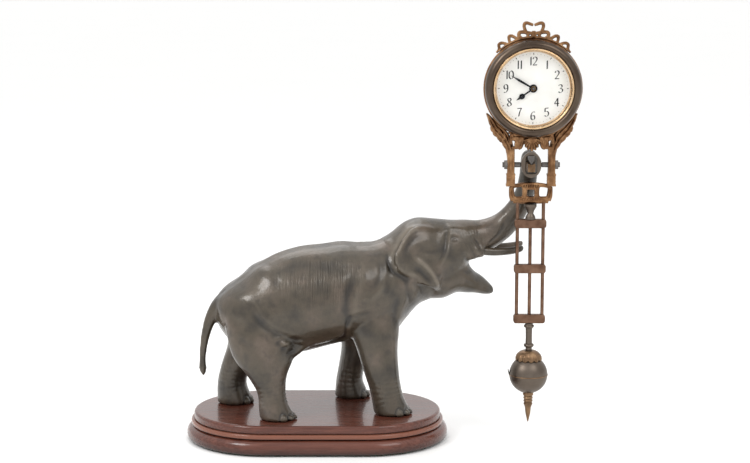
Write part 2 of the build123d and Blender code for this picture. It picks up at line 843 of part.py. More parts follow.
with BuildPart() as set_knob:
    with BuildSketch(clock.offset(knob_z)):
        RegularPolygon(knob_r, 16)
        Circle(centre_r + slip, mode=Mode.SUBTRACT)
    extrude(amount=-(knob_h - 0.6))
    with BuildSketch(clock.offset(knob_z - knob_h + 0.6)):
        Circle(knob_r * 0.8)
    extrude(amount=-0.6)
set_knob.part.label = "set_knob"
export_step(set_knob.part, "parts/set_knob.step")

motion_spot = clock.from_local_coords((*motion_at, motion_z))
motion_plane = Plane(origin=motion_spot, x_dir=(1, 0, 0), z_dir=(0, -1, 0))
with BuildPart() as minute_wheel:
    with BuildSketch(motion_plane):
        with BuildLine():
            Polyline(*teeth(minute_n, mod_a, motion_angle + 180 + 180 / minute_n), close=True)
        make_face()
    extrude(amount=wheel_t)
    with BuildSketch(motion_plane.offset(wheel_t)):
        with BuildLine():
            Polyline(*teeth(mpinion_n, mod_h, motion_angle + 180), close=True)
        make_face()
    extrude(amount=wheel_t + 0.4)
    with BuildSketch(motion_plane):
        Circle(stud_r + run)
    extrude(amount=3 * wheel_t, mode=Mode.SUBTRACT)
minute_wheel.part.label = "minute_wheel"
export_step(minute_wheel.part, "parts/minute_wheel.step")

with BuildPart() as hour_wheel:
    with BuildSketch(clock.offset(hour_z)):
        with BuildLine():
            Polyline(*teeth(hour_n, mod_h, motion_angle + 180 / hour_n), close=True)
        make_face()
    extrude(amount=wheel_t)
    with BuildSketch(clock.offset(hour_z)):
        Circle(pipe_r + 0.8)
    extrude(amount=hour_seat - hour_z)
    with BuildSketch(clock.offset(hour_seat)):
        Circle(pipe_r + 0.5)
    extrude(amount=hand_t + 0.15)
    with BuildSketch(clock.offset(hour_z)):
        Circle(pipe_r + run)
    extrude(amount=6, mode=Mode.SUBTRACT)
hour_wheel.part.label = "hour_wheel"
export_step(hour_wheel.part, "parts/hour_wheel.step")

# Hands at ten to eight
hour_turn = math.radians(235)
minute_turn = math.radians(300)
hour_plane = Plane(
    origin=clock.from_local_coords((0, 0, hour_seat)),
    x_dir=(math.cos(hour_turn), 0, -math.sin(hour_turn)),
    z_dir=(0, -1, 0),
)
minute_plane = Plane(
    origin=clock.from_local_coords((0, 0, minute_seat)),
    x_dir=(math.cos(minute_turn), 0, -math.sin(minute_turn)),
    z_dir=(0, -1, 0),
)
with BuildPart() as hour_hand:
    with BuildSketch(hour_plane):
        Circle(2.6)
        with BuildLine():
            Polyline((-0.55, 0), (-0.45, hour_len * 0.6), (0.45, hour_len * 0.6), (0.55, 0), close=True)
        make_face()
        with Locations((0, hour_len * 0.66)):
            Ellipse(hour_len * 0.13, hour_len * 0.15)
        with BuildLine():
            Polyline((-0.9, hour_len * 0.74), (0, hour_len), (0.9, hour_len * 0.74), close=True)
        make_face()
        Circle(pipe_r + 0.5 + slip, mode=Mode.SUBTRACT)
    extrude(amount=hand_t)
hour_hand.part.label = "hour_hand"
export_step(hour_hand.part, "parts/hour_hand.step")

with BuildPart() as minute_hand:
    with BuildSketch(minute_plane):
        Circle(2.0)
        with BuildLine():
            Polyline(
                (-0.5, 0),
                (-0.8, minute_len * 0.62),
                (0, minute_len),
                (0.8, minute_len * 0.62),
                (0.5, 0),
                close=True,
            )
        make_face()
        Circle(centre_r + slip, mode=Mode.SUBTRACT)
    extrude(amount=hand_t)
minute_hand.part.label = "minute_hand"
export_step(minute_hand.part, "parts/minute_hand.step")

with BuildPart() as hand_nut:
    with BuildSketch(clock.offset(minute_seat + hand_t)):
        Circle(1.7)
        Circle(centre_r + slip, mode=Mode.SUBTRACT)
    extrude(amount=0.7)
    fillet(hand_nut.faces().sort_by(Axis.Y)[0].outer_wire().edges(), 0.4)
hand_nut.part.label = "hand_nut"
export_step(hand_nut.part, "parts/hand_nut.step")

# Going train between the plates
barrel_z = plate_back + 0.6
barrel_top = barrel_z + barrel_h
barrel_plane = Plane(origin=clock.from_local_coords((*barrel_at, 0)), x_dir=(1, 0, 0), z_dir=(0, -1, 0))
with BuildPart() as barrel:
    with BuildSketch(barrel_plane.offset(barrel_top)):
        with BuildLine():
            Polyline(*teeth(barrel_n, mod_b, barrel_angle + 180), close=True)
        make_face()
    extrude(amount=train_t)
    with BuildSketch(barrel_plane.offset(barrel_z)):
        Circle(barrel_r)
    extrude(amount=barrel_h)
    with BuildSketch(barrel_plane.offset(barrel_z)):
        Circle(barrel_r - barrel_wall)
    extrude(amount=barrel_h, mode=Mode.SUBTRACT)
    with BuildSketch(barrel_plane.offset(barrel_z)):
        Circle(barrel_arbor_r + run)
    extrude(amount=barrel_h + 2 * train_t, mode=Mode.SUBTRACT)
barrel.part.label = "barrel"
export_step(barrel.part, "parts/barrel.step")

with BuildPart() as barrel_cap:
    with BuildSketch(barrel_plane.offset(barrel_z)):
        Circle(barrel_r - barrel_wall - slip)
        Circle(barrel_arbor_r + run, mode=Mode.SUBTRACT)
    extrude(amount=barrel_wall)
barrel_cap.part.label = "barrel_cap"
export_step(barrel_cap.part, "parts/barrel_cap.step")

with BuildPart() as mainspring:
    with BuildSketch(barrel_plane.offset(barrel_z + barrel_wall)):
        Circle(barrel_r - barrel_wall - slip)
        Circle(barrel_r * 0.45, mode=Mode.SUBTRACT)
    extrude(amount=barrel_h - 1.0)
mainspring.part.label = "mainspring"
export_step(mainspring.part, "parts/mainspring.step")

ratchet_z = plate_back - plate_t - 0.4
key_z = drum_back - cover_t - 0.6
with BuildPart() as barrel_arbor:
    with BuildSketch(barrel_plane.offset(key_z - key_h + 1.0)):
        Circle(barrel_arbor_r)
    extrude(amount=barrel_top + train_t + 0.2 - key_z + key_h - 1.0)
    with BuildSketch(barrel_plane.offset(barrel_top)):
        Circle(arbor_r)
    extrude(amount=plate_front + plate_t - 0.2 - barrel_top)
    with BuildSketch(barrel_plane.offset(barrel_z + 1.0)):
        Circle(barrel_arbor_r * 2)
    extrude(amount=barrel_h - 1.6)
barrel_arbor.part.label = "barrel_arbor"
export_step(barrel_arbor.part, "parts/barrel_arbor.step")

ratchet_pts = []
for i in range(20):
    ratchet_pts.append(spot(hub, ratchet_r, 18 * i))
    ratchet_pts.append(spot(hub, ratchet_r - 0.9, 18 * i + 3))
with BuildPart() as ratchet_wheel:
    with BuildSketch(barrel_plane.offset(ratchet_z)):
        with BuildLine():
            Polyline(*ratchet_pts, close=True)
        make_face()
        Circle(barrel_arbor_r + slip, mode=Mode.SUBTRACT)
    extrude(amount=-train_t)
ratchet_wheel.part.label = "ratchet_wheel"
export_step(ratchet_wheel.part, "parts/ratchet_wheel.step")

click_at = spot(hub, ratchet_r + 3.2, 180)
with BuildPart() as click:
    with BuildSketch(barrel_plane.offset(plate_back - plate_t)):
        with Locations(click_at):
            Circle(1.4)
        with BuildLine():
            Polyline(
                (click_at[0] - 1.0, click_at[1]),
                (click_at[0] - 0.4, click_at[1] + 4.2),
                (click_at[0] + 2.2, click_at[1] + 4.4),
                (click_at[0] + 1.0, click_at[1]),
                close=True,
            )
        make_face()
    extrude(amount=-train_t - 0.2)
click.part.label = "click"
export_step(click.part, "parts/click.step")

with BuildPart() as winding_key:
    with BuildSketch(barrel_plane.offset(key_z)):
        Circle(key_r)
        Circle(barrel_arbor_r + slip, mode=Mode.SUBTRACT)
    extrude(amount=-(key_h - 1.0))
    with BuildSketch(barrel_plane.offset(key_z - key_h + 1.0)):
        Circle(key_r)
    extrude(amount=-1.0)
    wing_plane = Plane(
        origin=barrel_plane.from_local_coords((0, 0, key_z - key_h)), x_dir=(1, 0, 0), z_dir=(0, 0, 1)
    )
    with BuildSketch(wing_plane):
        with Locations((-6.0, 4.0), (6.0, 4.0)):
            Ellipse(5.6, 4.2)
        with Locations((-6.6, 4.0), (6.6, 4.0)):
            Circle(1.8, mode=Mode.SUBTRACT)
        with Locations((0, 2.6)):
            Rectangle(4.0, 5.2)
    extrude(amount=0.7, both=True)
winding_key.part.label = "winding_key"
export_step(winding_key.part, "parts/winding_key.step")

centre_z = plate_front - 3.0
with BuildPart() as centre_wheel:
    with BuildSketch(clock.offset(centre_z)):
        with BuildLine():
            Polyline(*teeth(centre_n, mod_b, third_angle), close=True)
        make_face()
    extrude(amount=train_t)
    with BuildSketch(clock.offset(barrel_top - 0.6)):
        with BuildLine():
            Polyline(*teeth(cpinion_n, mod_b, barrel_angle + 180 / cpinion_n), close=True)
        make_face()
    extrude(amount=train_t + 1.2)
    with BuildSketch(clock.offset(barrel_top)):
        Circle(centre_r + 0.6)
    extrude(amount=plate_front - 0.3 - barrel_top)
    with BuildSketch(clock.offset(barrel_top - 1)):
        Circle(centre_r + run)
    extrude(amount=plates_gap, mode=Mode.SUBTRACT)
centre_wheel.part.label = "centre_wheel"
export_step(centre_wheel.part, "parts/centre_wheel.step")

third_z = plate_back + 4.2
third_plane = Plane(origin=clock.from_local_coords((*third_at, 0)), x_dir=(1, 0, 0), z_dir=(0, -1, 0))
with BuildPart() as third_wheel:
    with BuildSketch(third_plane.offset(plate_back - plate_t + 0.1)):
        Circle(arbor_r)
    extrude(amount=plates_gap + 2 * plate_t - 0.2)
    with BuildSketch(third_plane.offset(centre_z - 0.5)):
        with BuildLine():
            Polyline(*teeth(tpinion_n, mod_b, third_angle + 180 + 180 / tpinion_n), close=True)
        make_face()
    extrude(amount=train_t + 1.0)
    with BuildSketch(third_plane.offset(third_z)):
        with BuildLine():
            Polyline(*teeth(third_n, mod_c, escape_angle), close=True)
        make_face()
    extrude(amount=train_t)
third_wheel.part.label = "third_wheel"
export_step(third_wheel.part, "parts/third_wheel.step")

escape_z = centre_z - 3.6
escape_plane = Plane(origin=clock.from_local_coords((*escape_at, 0)), x_dir=(1, 0, 0), z_dir=(0, -1, 0))
star = []
for i in range(15):
    star.append(spot(hub, escape_r, 24 * i))
    star.append(spot(hub, escape_r - 1.6, 24 * i + 9))
with BuildPart() as escape_wheel:
    with BuildSketch(escape_plane.offset(plate_back - plate_t + 0.1)):
        Circle(arbor_r)
    extrude(amount=plates_gap + 2 * plate_t - 0.2)
    with BuildSketch(escape_plane.offset(third_z - 0.5)):
        with BuildLine():
            Polyline(*teeth(epinion_n, mod_c, escape_angle + 180 + 180 / epinion_n), close=True)
        make_face()
    extrude(amount=train_t + 1.0)
    with BuildSketch(escape_plane.offset(escape_z)):
        with BuildLine():
            Polyline(*star, close=True)
        make_face()
    extrude(amount=train_t)
escape_wheel.part.label = "escape_wheel"
export_step(escape_wheel.part, "parts/escape_wheel.step")

# Anchor with the short pendulum that drives the swing
anchor_plane = Plane(origin=clock.from_local_coords((*anchor_at, 0)), x_dir=(1, 0, 0), z_dir=(0, -1, 0))
er = escape_r / drawn_escape_r
with BuildPart() as anchor:
    with BuildSketch(anchor_plane.offset(plate_back - plate_t - 3.6)):
        Circle(arbor_r)
    extrude(amount=plates_gap + 2 * plate_t + 3.5)
    with BuildSketch(anchor_plane.offset(escape_z)):
        with BuildLine():
            Polyline(
                (-1.2 * er, 0.9 * er),
                (1.2 * er, 0.9 * er),
                (5.4 * er, -1.6 * er),
                (6.6 * er, -4.5 * er),
                (5.8 * er, -4.3 * er),
                (4.6 * er, -2.4 * er),
                (0.8 * er, -1.0 * er),
                (-0.8 * er, -1.0 * er),
                (-4.6 * er, -2.4 * er),
                (-5.8 * er, -4.3 * er),
                (-6.6 * er, -4.5 * er),
                (-5.4 * er, -1.6 * er),
                close=True,
            )
        make_face()
    extrude(amount=train_t)
anchor.part.label = "anchor"
export_step(anchor.part, "parts/anchor.step")

with BuildPart() as drive_pendulum:
    with BuildSketch(anchor_plane.offset(plate_back - plate_t - 1.6)):
        Circle(1.5)
        with Locations((0, -drive_len / 2)):
            Rectangle(1.0, drive_len)
        Circle(arbor_r + slip, mode=Mode.SUBTRACT)
    extrude(amount=-0.8)
    with BuildSketch(anchor_plane.offset(plate_back - plate_t - 1.0)):
        with Locations((0, -drive_len)):
            Circle(3.2)
    extrude(amount=-2.2)
drive_pendulum.part.label = "drive_pendulum"
export_step(drive_pendulum.part, "parts/drive_pendulum.step")

# Gilt yoke: horns that cradle the drum, a web and two posts
post_in = post_x - post_w / 2
foot_top = post_foot - foot_h
seat_r = drum_r + slip
horn = spot(hub, seat_r, 200)
cradle = spot(hub, seat_r, 235)
web_bottom = -seat_r - web_h
with BuildPart() as yoke:
    with BuildSketch(stem.offset(-frame_t / 2)):
        with BuildLine():
            Line(horn, (horn[0] - 2.9, horn[1] - 2.0))
            Spline(
                (horn[0] - 2.9, horn[1] - 2.0),
                (horn[0] - 2.6, horn[1] - 7.0),
                (-seat_r * 0.90, -seat_r * 0.80),
                (-seat_r * 0.72, -seat_r * 0.98),
                (-post_out - 2.0, -seat_r - 5.0),
                (-post_out, -seat_r - 12.0),
            )
            Polyline(
                (-post_out, -seat_r - 12.0),
                (-post_out, -foot_top),
                (-post_x - foot_w / 2, -foot_top),
                (-post_x - foot_w / 2, -post_foot),
                (-post_x + foot_w / 2, -post_foot),
                (-post_x + foot_w / 2, -foot_top),
                (-post_in, -foot_top),
                (-post_in, web_bottom - 3.0),
                (-post_in + 3.0, web_bottom),
                (0, web_bottom),
                (0, -seat_r),
            )
            ThreePointArc((0, -seat_r), cradle, horn)
        make_face()
        mirror(about=Plane.YZ)
    extrude(amount=frame_t)
    with Locations(Location((clock_x, 0, pivot_z), (0, 90, 0))):
        Cylinder(screw_r + slip, 3 * post_out, mode=Mode.SUBTRACT)
yoke.part.label = "yoke"
export_step(yoke.part, "parts/yoke.step")

# Gilt apron: shell and leaves on the front of the web
with BuildPart() as apron:
    with BuildSketch(stem.offset(frame_t / 2)):
        with Locations((0, -seat_r - 5.4)):
            Ellipse(5.6, 4.4)
        with Locations(Location((-8.4, -seat_r - 4.2), -14), Location((8.4, -seat_r - 4.2), 14)):
            Ellipse(5.6, 2.4)
        with Locations(Location((-14.6, -seat_r - 0.6), -42), Location((14.6, -seat_r - 0.6), 42)):
            Ellipse(4.6, 2.0)
        with Locations((-8.6, -seat_r - 4.2), (8.6, -seat_r - 4.2)):
            Circle(0.9, mode=Mode.SUBTRACT)
    extrude(amount=apron_t)
    with BuildSketch(stem.offset(frame_t / 2 + apron_t)):
        with Locations((0, -seat_r - 5.0)):
            Ellipse(3.6, 3.0)
    extrude(amount=1.0)
apron.part.label = "apron"
export_step(apron.part, "parts/apron.step")

# Gilt bridge that joins the two post feet above the grid of rods
mount_bottom = post_foot + mount_h
with BuildPart() as bridge_mount:
    with BuildSketch(stem.offset(-mount_t / 2)):
        with BuildLine():
            Polyline(
                (0, -mount_bottom),
                (-rod_x - 2.4, -mount_bottom),
                (-mount_w / 2, -post_foot - mount_h * 0.45),
                (-mount_w / 2, -post_foot),
                (-post_x + foot_w / 2 + 0.3, -post_foot),
                (-post_x + foot_w / 2 + 0.3, -post_foot + 0.8),
            )
            ThreePointArc(
                (-post_x + foot_w / 2 + 0.3, -post_foot + 0.8),
                (-post_x * 0.38, -post_foot + 2.0),
                (0, -post_foot + 2.4),
            )
            Line((0, -post_foot + 2.4), (0, -mount_bottom))
        make_face()
        mirror(about=Plane.YZ)
        with Locations((-6.2, -post_foot - mount_h * 0.36), (6.2, -post_foot - mount_h * 0.36)):
            Ellipse(2.7, mount_h * 0.24, mode=Mode.SUBTRACT)
        with Locations((0, -post_foot - mount_h * 0.30)):
            Circle(1.7, mode=Mode.SUBTRACT)
    extrude(amount=mount_t)
    with BuildSketch(Plane.XY.offset(dial_z - mount_bottom)):
        with Locations((clock_x - rod_x, 0), (clock_x + rod_x, 0)):
            Circle(rod_r + slip)
    extrude(amount=mount_h * 0.25, mode=Mode.SUBTRACT)
bridge_mount.part.label = "bridge_mount"
export_step(bridge_mount.part, "parts/bridge_mount.step")

# Everything on the pendulum's centre line is turned about this upright axis
stem_axis = Axis((clock_x, 0, dial_z), (0, 0, 1))
bar_a = mount_bottom + cup_h
below = 3 * bar_h + neck_h + bob_r + bob_flat + run + finial_h
rod_span = dial_z - tip_clear - bar_a - below
bar_gap_a = rod_span * upper_share
bar_gap_b = rod_span - bar_gap_a
bar_b = bar_a + bar_h + bar_gap_a
bar_c = bar_b + bar_h + bar_gap_b
neck_top = bar_c + bar_h
bob_c = neck_top + neck_h + bob_r

with BuildPart() as rod_cup:
    with BuildSketch(stem):
        with BuildLine():
            Polyline(
                (0, -mount_bottom),
                (cup_r, -mount_bottom),
                (cup_r, -mount_bottom - cup_h * 0.16),
                (cup_r * 0.62, -mount_bottom - cup_h * 0.42),
                (cup_r * 0.48, -mount_bottom - cup_h * 0.62),
                (cup_r * 0.76, -mount_bottom - cup_h * 0.80),
                (cup_r * 0.86, -bar_a),
                (0, -bar_a),
                close=True,
            )
        make_face()
    revolve(axis=stem_axis)
    with BuildSketch(Plane.XY.offset(dial_z - bar_a)):
        with Locations((clock_x, 0)):
            Circle(rod_r + slip)
    extrude(amount=cup_h * 0.5, mode=Mode.SUBTRACT)
rod_cup.part.label = "rod_cup"
export_step(rod_cup.part, "parts/rod_cup.step")

for name, top in (("top_crossbar", bar_a), ("middle_crossbar", bar_b), ("bottom_crossbar", bar_c)):
    with BuildPart() as crossbar:
        with BuildSketch(stem.offset(-bar_t / 2)):
            with Locations((0, -top - bar_h / 2)):
                RectangleRounded(bar_len, bar_h, bar_h * 0.3)
        extrude(amount=bar_t)
        fillet(crossbar.faces().sort_by(Axis.Y)[0].edges(), bar_t * 0.18)
        with BuildSketch(Plane.XY.offset(dial_z - top)):
            with Locations((clock_x - rod_x, 0), (clock_x, 0), (clock_x + rod_x, 0)):
                Circle(rod_r + slip)
        extrude(amount=-bar_h, mode=Mode.SUBTRACT)
    crossbar.part.label = name
    export_step(crossbar.part, "parts/" + name + ".step")

with BuildPart() as side_rods:
    with BuildSketch(Plane.XY.offset(dial_z - mount_bottom + mount_h * 0.25)):
        with Locations((clock_x - rod_x, 0), (clock_x + rod_x, 0)):
            Circle(rod_r)
    extrude(amount=-(neck_top - mount_bottom + mount_h * 0.25))
side_rods.part.label = "side_rods"
export_step(side_rods.part, "parts/side_rods.step")

with BuildPart() as centre_rod:
    with BuildSketch(Plane.XY.offset(dial_z - bar_a + cup_h * 0.5)):
        with Locations((clock_x, 0)):
            Circle(rod_r)
    extrude(amount=-(bar_c + bar_h / 2 - bar_a + cup_h * 0.5))
centre_rod.part.label = "centre_rod"
export_step(centre_rod.part, "parts/centre_rod.step")

# Turned neck with the threaded spindle that carries the bob
spindle_end = bob_c + bob_flat + finial_thread - 1.0
knop_top = neck_top + collar_r * 0.25
ring_top = neck_top + ring_at
with BuildPart() as neck:
    with BuildSketch(stem):
        with BuildLine():
            Polyline(
                (0, -bar_c - bar_h / 2),
                (rod_r, -bar_c - bar_h / 2),
                (rod_r, -neck_top),
                (collar_r * 0.75, -neck_top),
                (collar_r * 0.75, -knop_top),
            )
            ThreePointArc(
                (collar_r * 0.75, -knop_top),
                (collar_r, -knop_top - collar_h / 2),
                (waist_r, -knop_top - collar_h),
            )
            ThreePointArc(
                (waist_r, -knop_top - collar_h),
                (spindle_r + 0.02, -(knop_top + collar_h + ring_top) / 2),
                (waist_r, -ring_top),
            )
            ThreePointArc(
                (waist_r, -ring_top),
                (collar_r, -ring_top - collar_h / 2),
                (waist_r, -ring_top - collar_h),
            )
            Polyline(
                (waist_r, -ring_top - collar_h),
                (spindle_r, -ring_top - collar_h),
                (spindle_r, -spindle_end),
                (0, -spindle_end),
                (0, -bar_c - bar_h / 2),
            )
        make_face()
    revolve(axis=stem_axis)
neck.part.label = "neck"
export_step(neck.part, "parts/neck.step")

# Ball bob in two halves, a leaf cap and the rating nut with its finial
with BuildPart() as bob_upper:
    with Locations((clock_x, 0, dial_z - bob_c)):
        Sphere(bob_r)
    with BuildSketch(Plane.XY.offset(dial_z - bob_c)):
        with Locations((clock_x, 0)):
            Circle(2 * bob_r)
    extrude(amount=-2 * bob_r, mode=Mode.SUBTRACT)
    with BuildSketch(Plane.XY.offset(dial_z - bob_c + bob_flat)):
        with Locations((clock_x, 0)):
            Circle(2 * bob_r)
    extrude(amount=bob_r, mode=Mode.SUBTRACT)
    with BuildSketch(Plane.XY.offset(dial_z - bob_c)):
        with Locations((clock_x, 0)):
            Circle(spindle_r + run)
    extrude(amount=bob_r, mode=Mode.SUBTRACT)
bob_upper.part.label = "bob_upper"
export_step(bob_upper.part, "parts/bob_upper.step")

with BuildPart() as bob_lower:
    with Locations((clock_x, 0, dial_z - bob_c)):
        Sphere(bob_r)
    with BuildSketch(Plane.XY.offset(dial_z - bob_c)):
        with Locations((clock_x, 0)):
            Circle(2 * bob_r)
    extrude(amount=2 * bob_r, mode=Mode.SUBTRACT)
    with BuildSketch(Plane.XY.offset(dial_z - bob_c - bob_flat)):
        with Locations((clock_x, 0)):
            Circle(2 * bob_r)
    extrude(amount=-bob_r, mode=Mode.SUBTRACT)
    with BuildSketch(Plane.XY.offset(dial_z - bob_c)):
        with Locations((clock_x, 0)):
            Circle(spindle_r + run)
    extrude(amount=-bob_r, mode=Mode.SUBTRACT)
bob_lower.part.label = "bob_lower"
export_step(bob_lower.part, "parts/bob_lower.step")

cap_seat = math.sqrt(bob_r**2 - cap_r**2)
with BuildPart() as bob_cap:
    with BuildSketch(stem):
        with BuildLine():
            Polyline(
                (spindle_r + 2 * run, -bob_c + cap_seat),
                (cap_r, -bob_c + cap_seat),
                (cap_r * 1.03, -bob_c + cap_seat + 0.9),
                (cap_r * 0.80, -bob_c + bob_flat + cap_h * 0.05),
                (cap_r * 0.52, -bob_c + bob_flat + cap_h * 0.45),
                (cap_r * 0.40, -bob_c + bob_flat + cap_h),
                (spindle_r + 2 * run, -bob_c + bob_flat + cap_h),
                close=True,
            )
        make_face()
    revolve(axis=stem_axis)
    with Locations((clock_x, 0, dial_z - bob_c)):
        Sphere(bob_r + slip, mode=Mode.SUBTRACT)
bob_cap.part.label = "bob_cap"
export_step(bob_cap.part, "parts/bob_cap.step")

nut_top = bob_c + bob_flat + run
with BuildPart() as rating_nut:
    with BuildSketch(stem):
        with BuildLine():
            Polyline(
                (spindle_r + run, -nut_top),
                (finial_r * 1.25, -nut_top),
                (finial_r * 1.25, -nut_top - finial_h * 0.10),
                (finial_r * 0.94, -nut_top - finial_h * 0.13),
                (finial_r * 1.18, -nut_top - finial_h * 0.20),
                (finial_r * 0.94, -nut_top - finial_h * 0.23),
                (finial_r * 1.14, -nut_top - finial_h * 0.30),
                (finial_r * 0.94, -nut_top - finial_h * 0.33),
                (finial_r * 1.08, -nut_top - finial_h * 0.40),
                (finial_r * 0.94, -nut_top - finial_h * 0.43),
                (finial_r * 0.72, -nut_top - finial_h * 0.52),
                (finial_r * 0.60, -nut_top - finial_h * 0.70),
                (finial_r * 0.12, -nut_top - finial_h),
                (0, -nut_top - finial_h),
                (0, -nut_top - finial_thread),
                (spindle_r + run, -nut_top - finial_thread),
                close=True,
            )
        make_face()
    revolve(axis=stem_axis)
rating_nut.part.label = "rating_nut"
export_step(rating_nut.part, "parts/rating_nut.step")

# Gilt ribbon bow on top of the rim
crest_z = drum_front - rim_w + 0.4
loop_y = rim_r + crest_h * 0.6
loop_tilt = 28.0
with BuildPart() as crest:
    with BuildSketch(clock.offset(crest_z)):
        Circle(rim_r + 2.2)
        Circle(rim_r + slip, mode=Mode.SUBTRACT)
        with BuildLine():
            Polyline((0, 0), (-2 * rim_r, 2.2 * rim_r), (2 * rim_r, 2.2 * rim_r), close=True)
        make_face(mode=Mode.INTERSECT)
        with Locations(Location((-4.7, loop_y), loop_tilt), Location((4.7, loop_y), -loop_tilt)):
            Ellipse(3.7, 4.6)
        with Locations(Location((-4.9, loop_y), loop_tilt), Location((4.9, loop_y), -loop_tilt)):
            Ellipse(1.9, 2.6, mode=Mode.SUBTRACT)
        with Locations((0, rim_r + crest_h * 0.34)):
            Ellipse(2.2, 3.0)
        with Locations(
            Location((*spot(hub, rim_r + 2.4, 122), 0), (0, 0, 50)),
            Location((*spot(hub, rim_r + 1.6, 108), 0), (0, 0, 12)),
            Location((*spot(hub, rim_r + 2.4, 58), 0), (0, 0, -50)),
            Location((*spot(hub, rim_r + 1.6, 72), 0), (0, 0, -12)),
        ):
            Ellipse(4.2, 1.9)
        Circle(rim_r + slip, mode=Mode.SUBTRACT)
    extrude(amount=crest_t)
crest.part.label = "crest"
export_step(crest.part, "parts/crest.step")
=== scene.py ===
# %% [markdown]
# # A swinging clock held up by an elephant
# The part is a table clock: a cast elephant on a wooden plinth balances a pendulum clock on its trunk.
# The solids arrive as a fixed frame in metres. They keep their places, and this script gives every one of
# them a finish and models anew the castings, whose carved skin and leaves plain solids can't show.

# %% The frame
import math
import bmesh
import bpy
import numpy as np
from mathutils import Matrix, Vector


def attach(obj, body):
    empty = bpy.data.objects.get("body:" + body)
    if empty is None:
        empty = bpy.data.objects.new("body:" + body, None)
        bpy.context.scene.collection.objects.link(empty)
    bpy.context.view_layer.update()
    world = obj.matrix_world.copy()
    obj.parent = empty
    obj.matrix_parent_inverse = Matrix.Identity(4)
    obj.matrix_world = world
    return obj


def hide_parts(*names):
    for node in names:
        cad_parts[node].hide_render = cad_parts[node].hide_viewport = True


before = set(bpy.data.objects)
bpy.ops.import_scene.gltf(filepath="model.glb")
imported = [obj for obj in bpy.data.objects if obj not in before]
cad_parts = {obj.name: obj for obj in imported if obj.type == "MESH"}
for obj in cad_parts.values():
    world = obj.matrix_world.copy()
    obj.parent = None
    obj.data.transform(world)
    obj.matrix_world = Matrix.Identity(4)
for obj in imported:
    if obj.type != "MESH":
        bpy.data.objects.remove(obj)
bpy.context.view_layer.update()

# %% [markdown]
# The picture was taken from a little above the plinth with a long lens. The same lens is set up here,
# level with the clock's middle and tipped down a few degrees, so that the plinth's top shows as a band.

# %% Camera
scene = bpy.context.scene
tipped_down = 8.61
lens = bpy.data.cameras.new("studio_camera")
lens.sensor_width = 36
lens.lens = 85.3
viewer = bpy.data.objects.new("studio_camera", lens)
viewer.location = (0.040, -1.200, 0.325)
viewer.rotation_euler = (math.radians(90 - tipped_down), 0, 0)
scene.collection.objects.link(viewer)
scene.camera = viewer
scene.view_settings.view_transform = "Standard"
print("camera:", round(lens.lens, 1), "mm lens, tipped down", tipped_down, "degrees")

# %% [markdown]
# A white table and broad lamps give the soft light of a catalogue picture. The room could be one even
# white, but then the metal would look flat, so it is a little brighter overhead than at the horizon. What
# the camera itself sees above the table's far edge is plain white.

# %% Light of the room
sky = bpy.data.worlds.new("white_room")
sky.use_nodes = True
room = sky.node_tree.nodes
wire = sky.node_tree.links
way_up = room.new("ShaderNodeSeparateXYZ")
glow = room.new("ShaderNodeMapRange")
glow.inputs["To Min"].default_value = 0.90
glow.inputs["To Max"].default_value = 1.18
seen = room.new("ShaderNodeMix")
seen.inputs["B"].default_value = 1.0
wire.new(room.new("ShaderNodeTexCoord").outputs["Generated"], way_up.inputs["Vector"])
wire.new(way_up.outputs["Z"], glow.inputs["Value"])
wire.new(room.new("ShaderNodeLightPath").outputs["Is Camera Ray"], seen.inputs["Factor"])
wire.new(glow.outputs["Result"], seen.inputs["A"])
wire.new(seen.outputs["Result"], room["Background"].inputs["Strength"])
room["Background"].inputs["Color"].default_value = (1.0, 1.0, 1.0, 1.0)
scene.world = sky
print("room:", len(room), "nodes")

# %% [markdown]
# The table is one large flat face. One big lamp stands high on the left, so that the back, the hips and
# the gilt catch a highlight, and two weaker ones fill the right and the far side.

# %% Table and lamps
bench = bmesh.new()
bmesh.ops.create_grid(bench, x_segments=1, y_segments=1, size=40.0)
table_mesh = bpy.data.meshes.new("table_top")
bench.to_mesh(table_mesh)
bench.free()
table_top = bpy.data.objects.new("table_top", table_mesh)
scene.collection.objects.link(table_top)


def lamp(name, place, target, size, power):
    """A square soft lamp that faces a target."""
    light = bpy.data.lights.new(name, "AREA")
    light.size = size
    light.energy = power
    holder = bpy.data.objects.new(name, light)
    holder.location = place
    holder.rotation_euler = (Vector(target) - Vector(place)).to_track_quat("-Z", "Y").to_euler()
    scene.collection.objects.link(holder)


lamp("key_lamp", (-0.75, -0.60, 1.05), (0.02, 0.0, 0.10), 0.45, 6.5)
lamp("fill_lamp", (0.75, -0.75, 1.15), (0.10, 0.0, 0.14), 0.6, 4.0)
lamp("far_lamp", (-0.10, 0.60, 0.90), (0.05, 0.0, 0.10), 0.5, 1.5)

# %% [markdown]
# A finish is a Principled shader fed by a few texture nodes. The small class below keeps that short: it
# adds a node, sets its numbers and links its inputs in one line. Colours are given as they look on
# screen, 0 to 255, and turned into the linear numbers that the shader works with.

# %% Finish helper
def tint(red, green, blue):
    """Linear colour of a screen colour."""
    parts = [v / 255 for v in (red, green, blue)]
    return tuple(v / 12.92 if v < 0.04045 else ((v + 0.055) / 1.055) ** 2.4 for v in parts) + (1.0,)


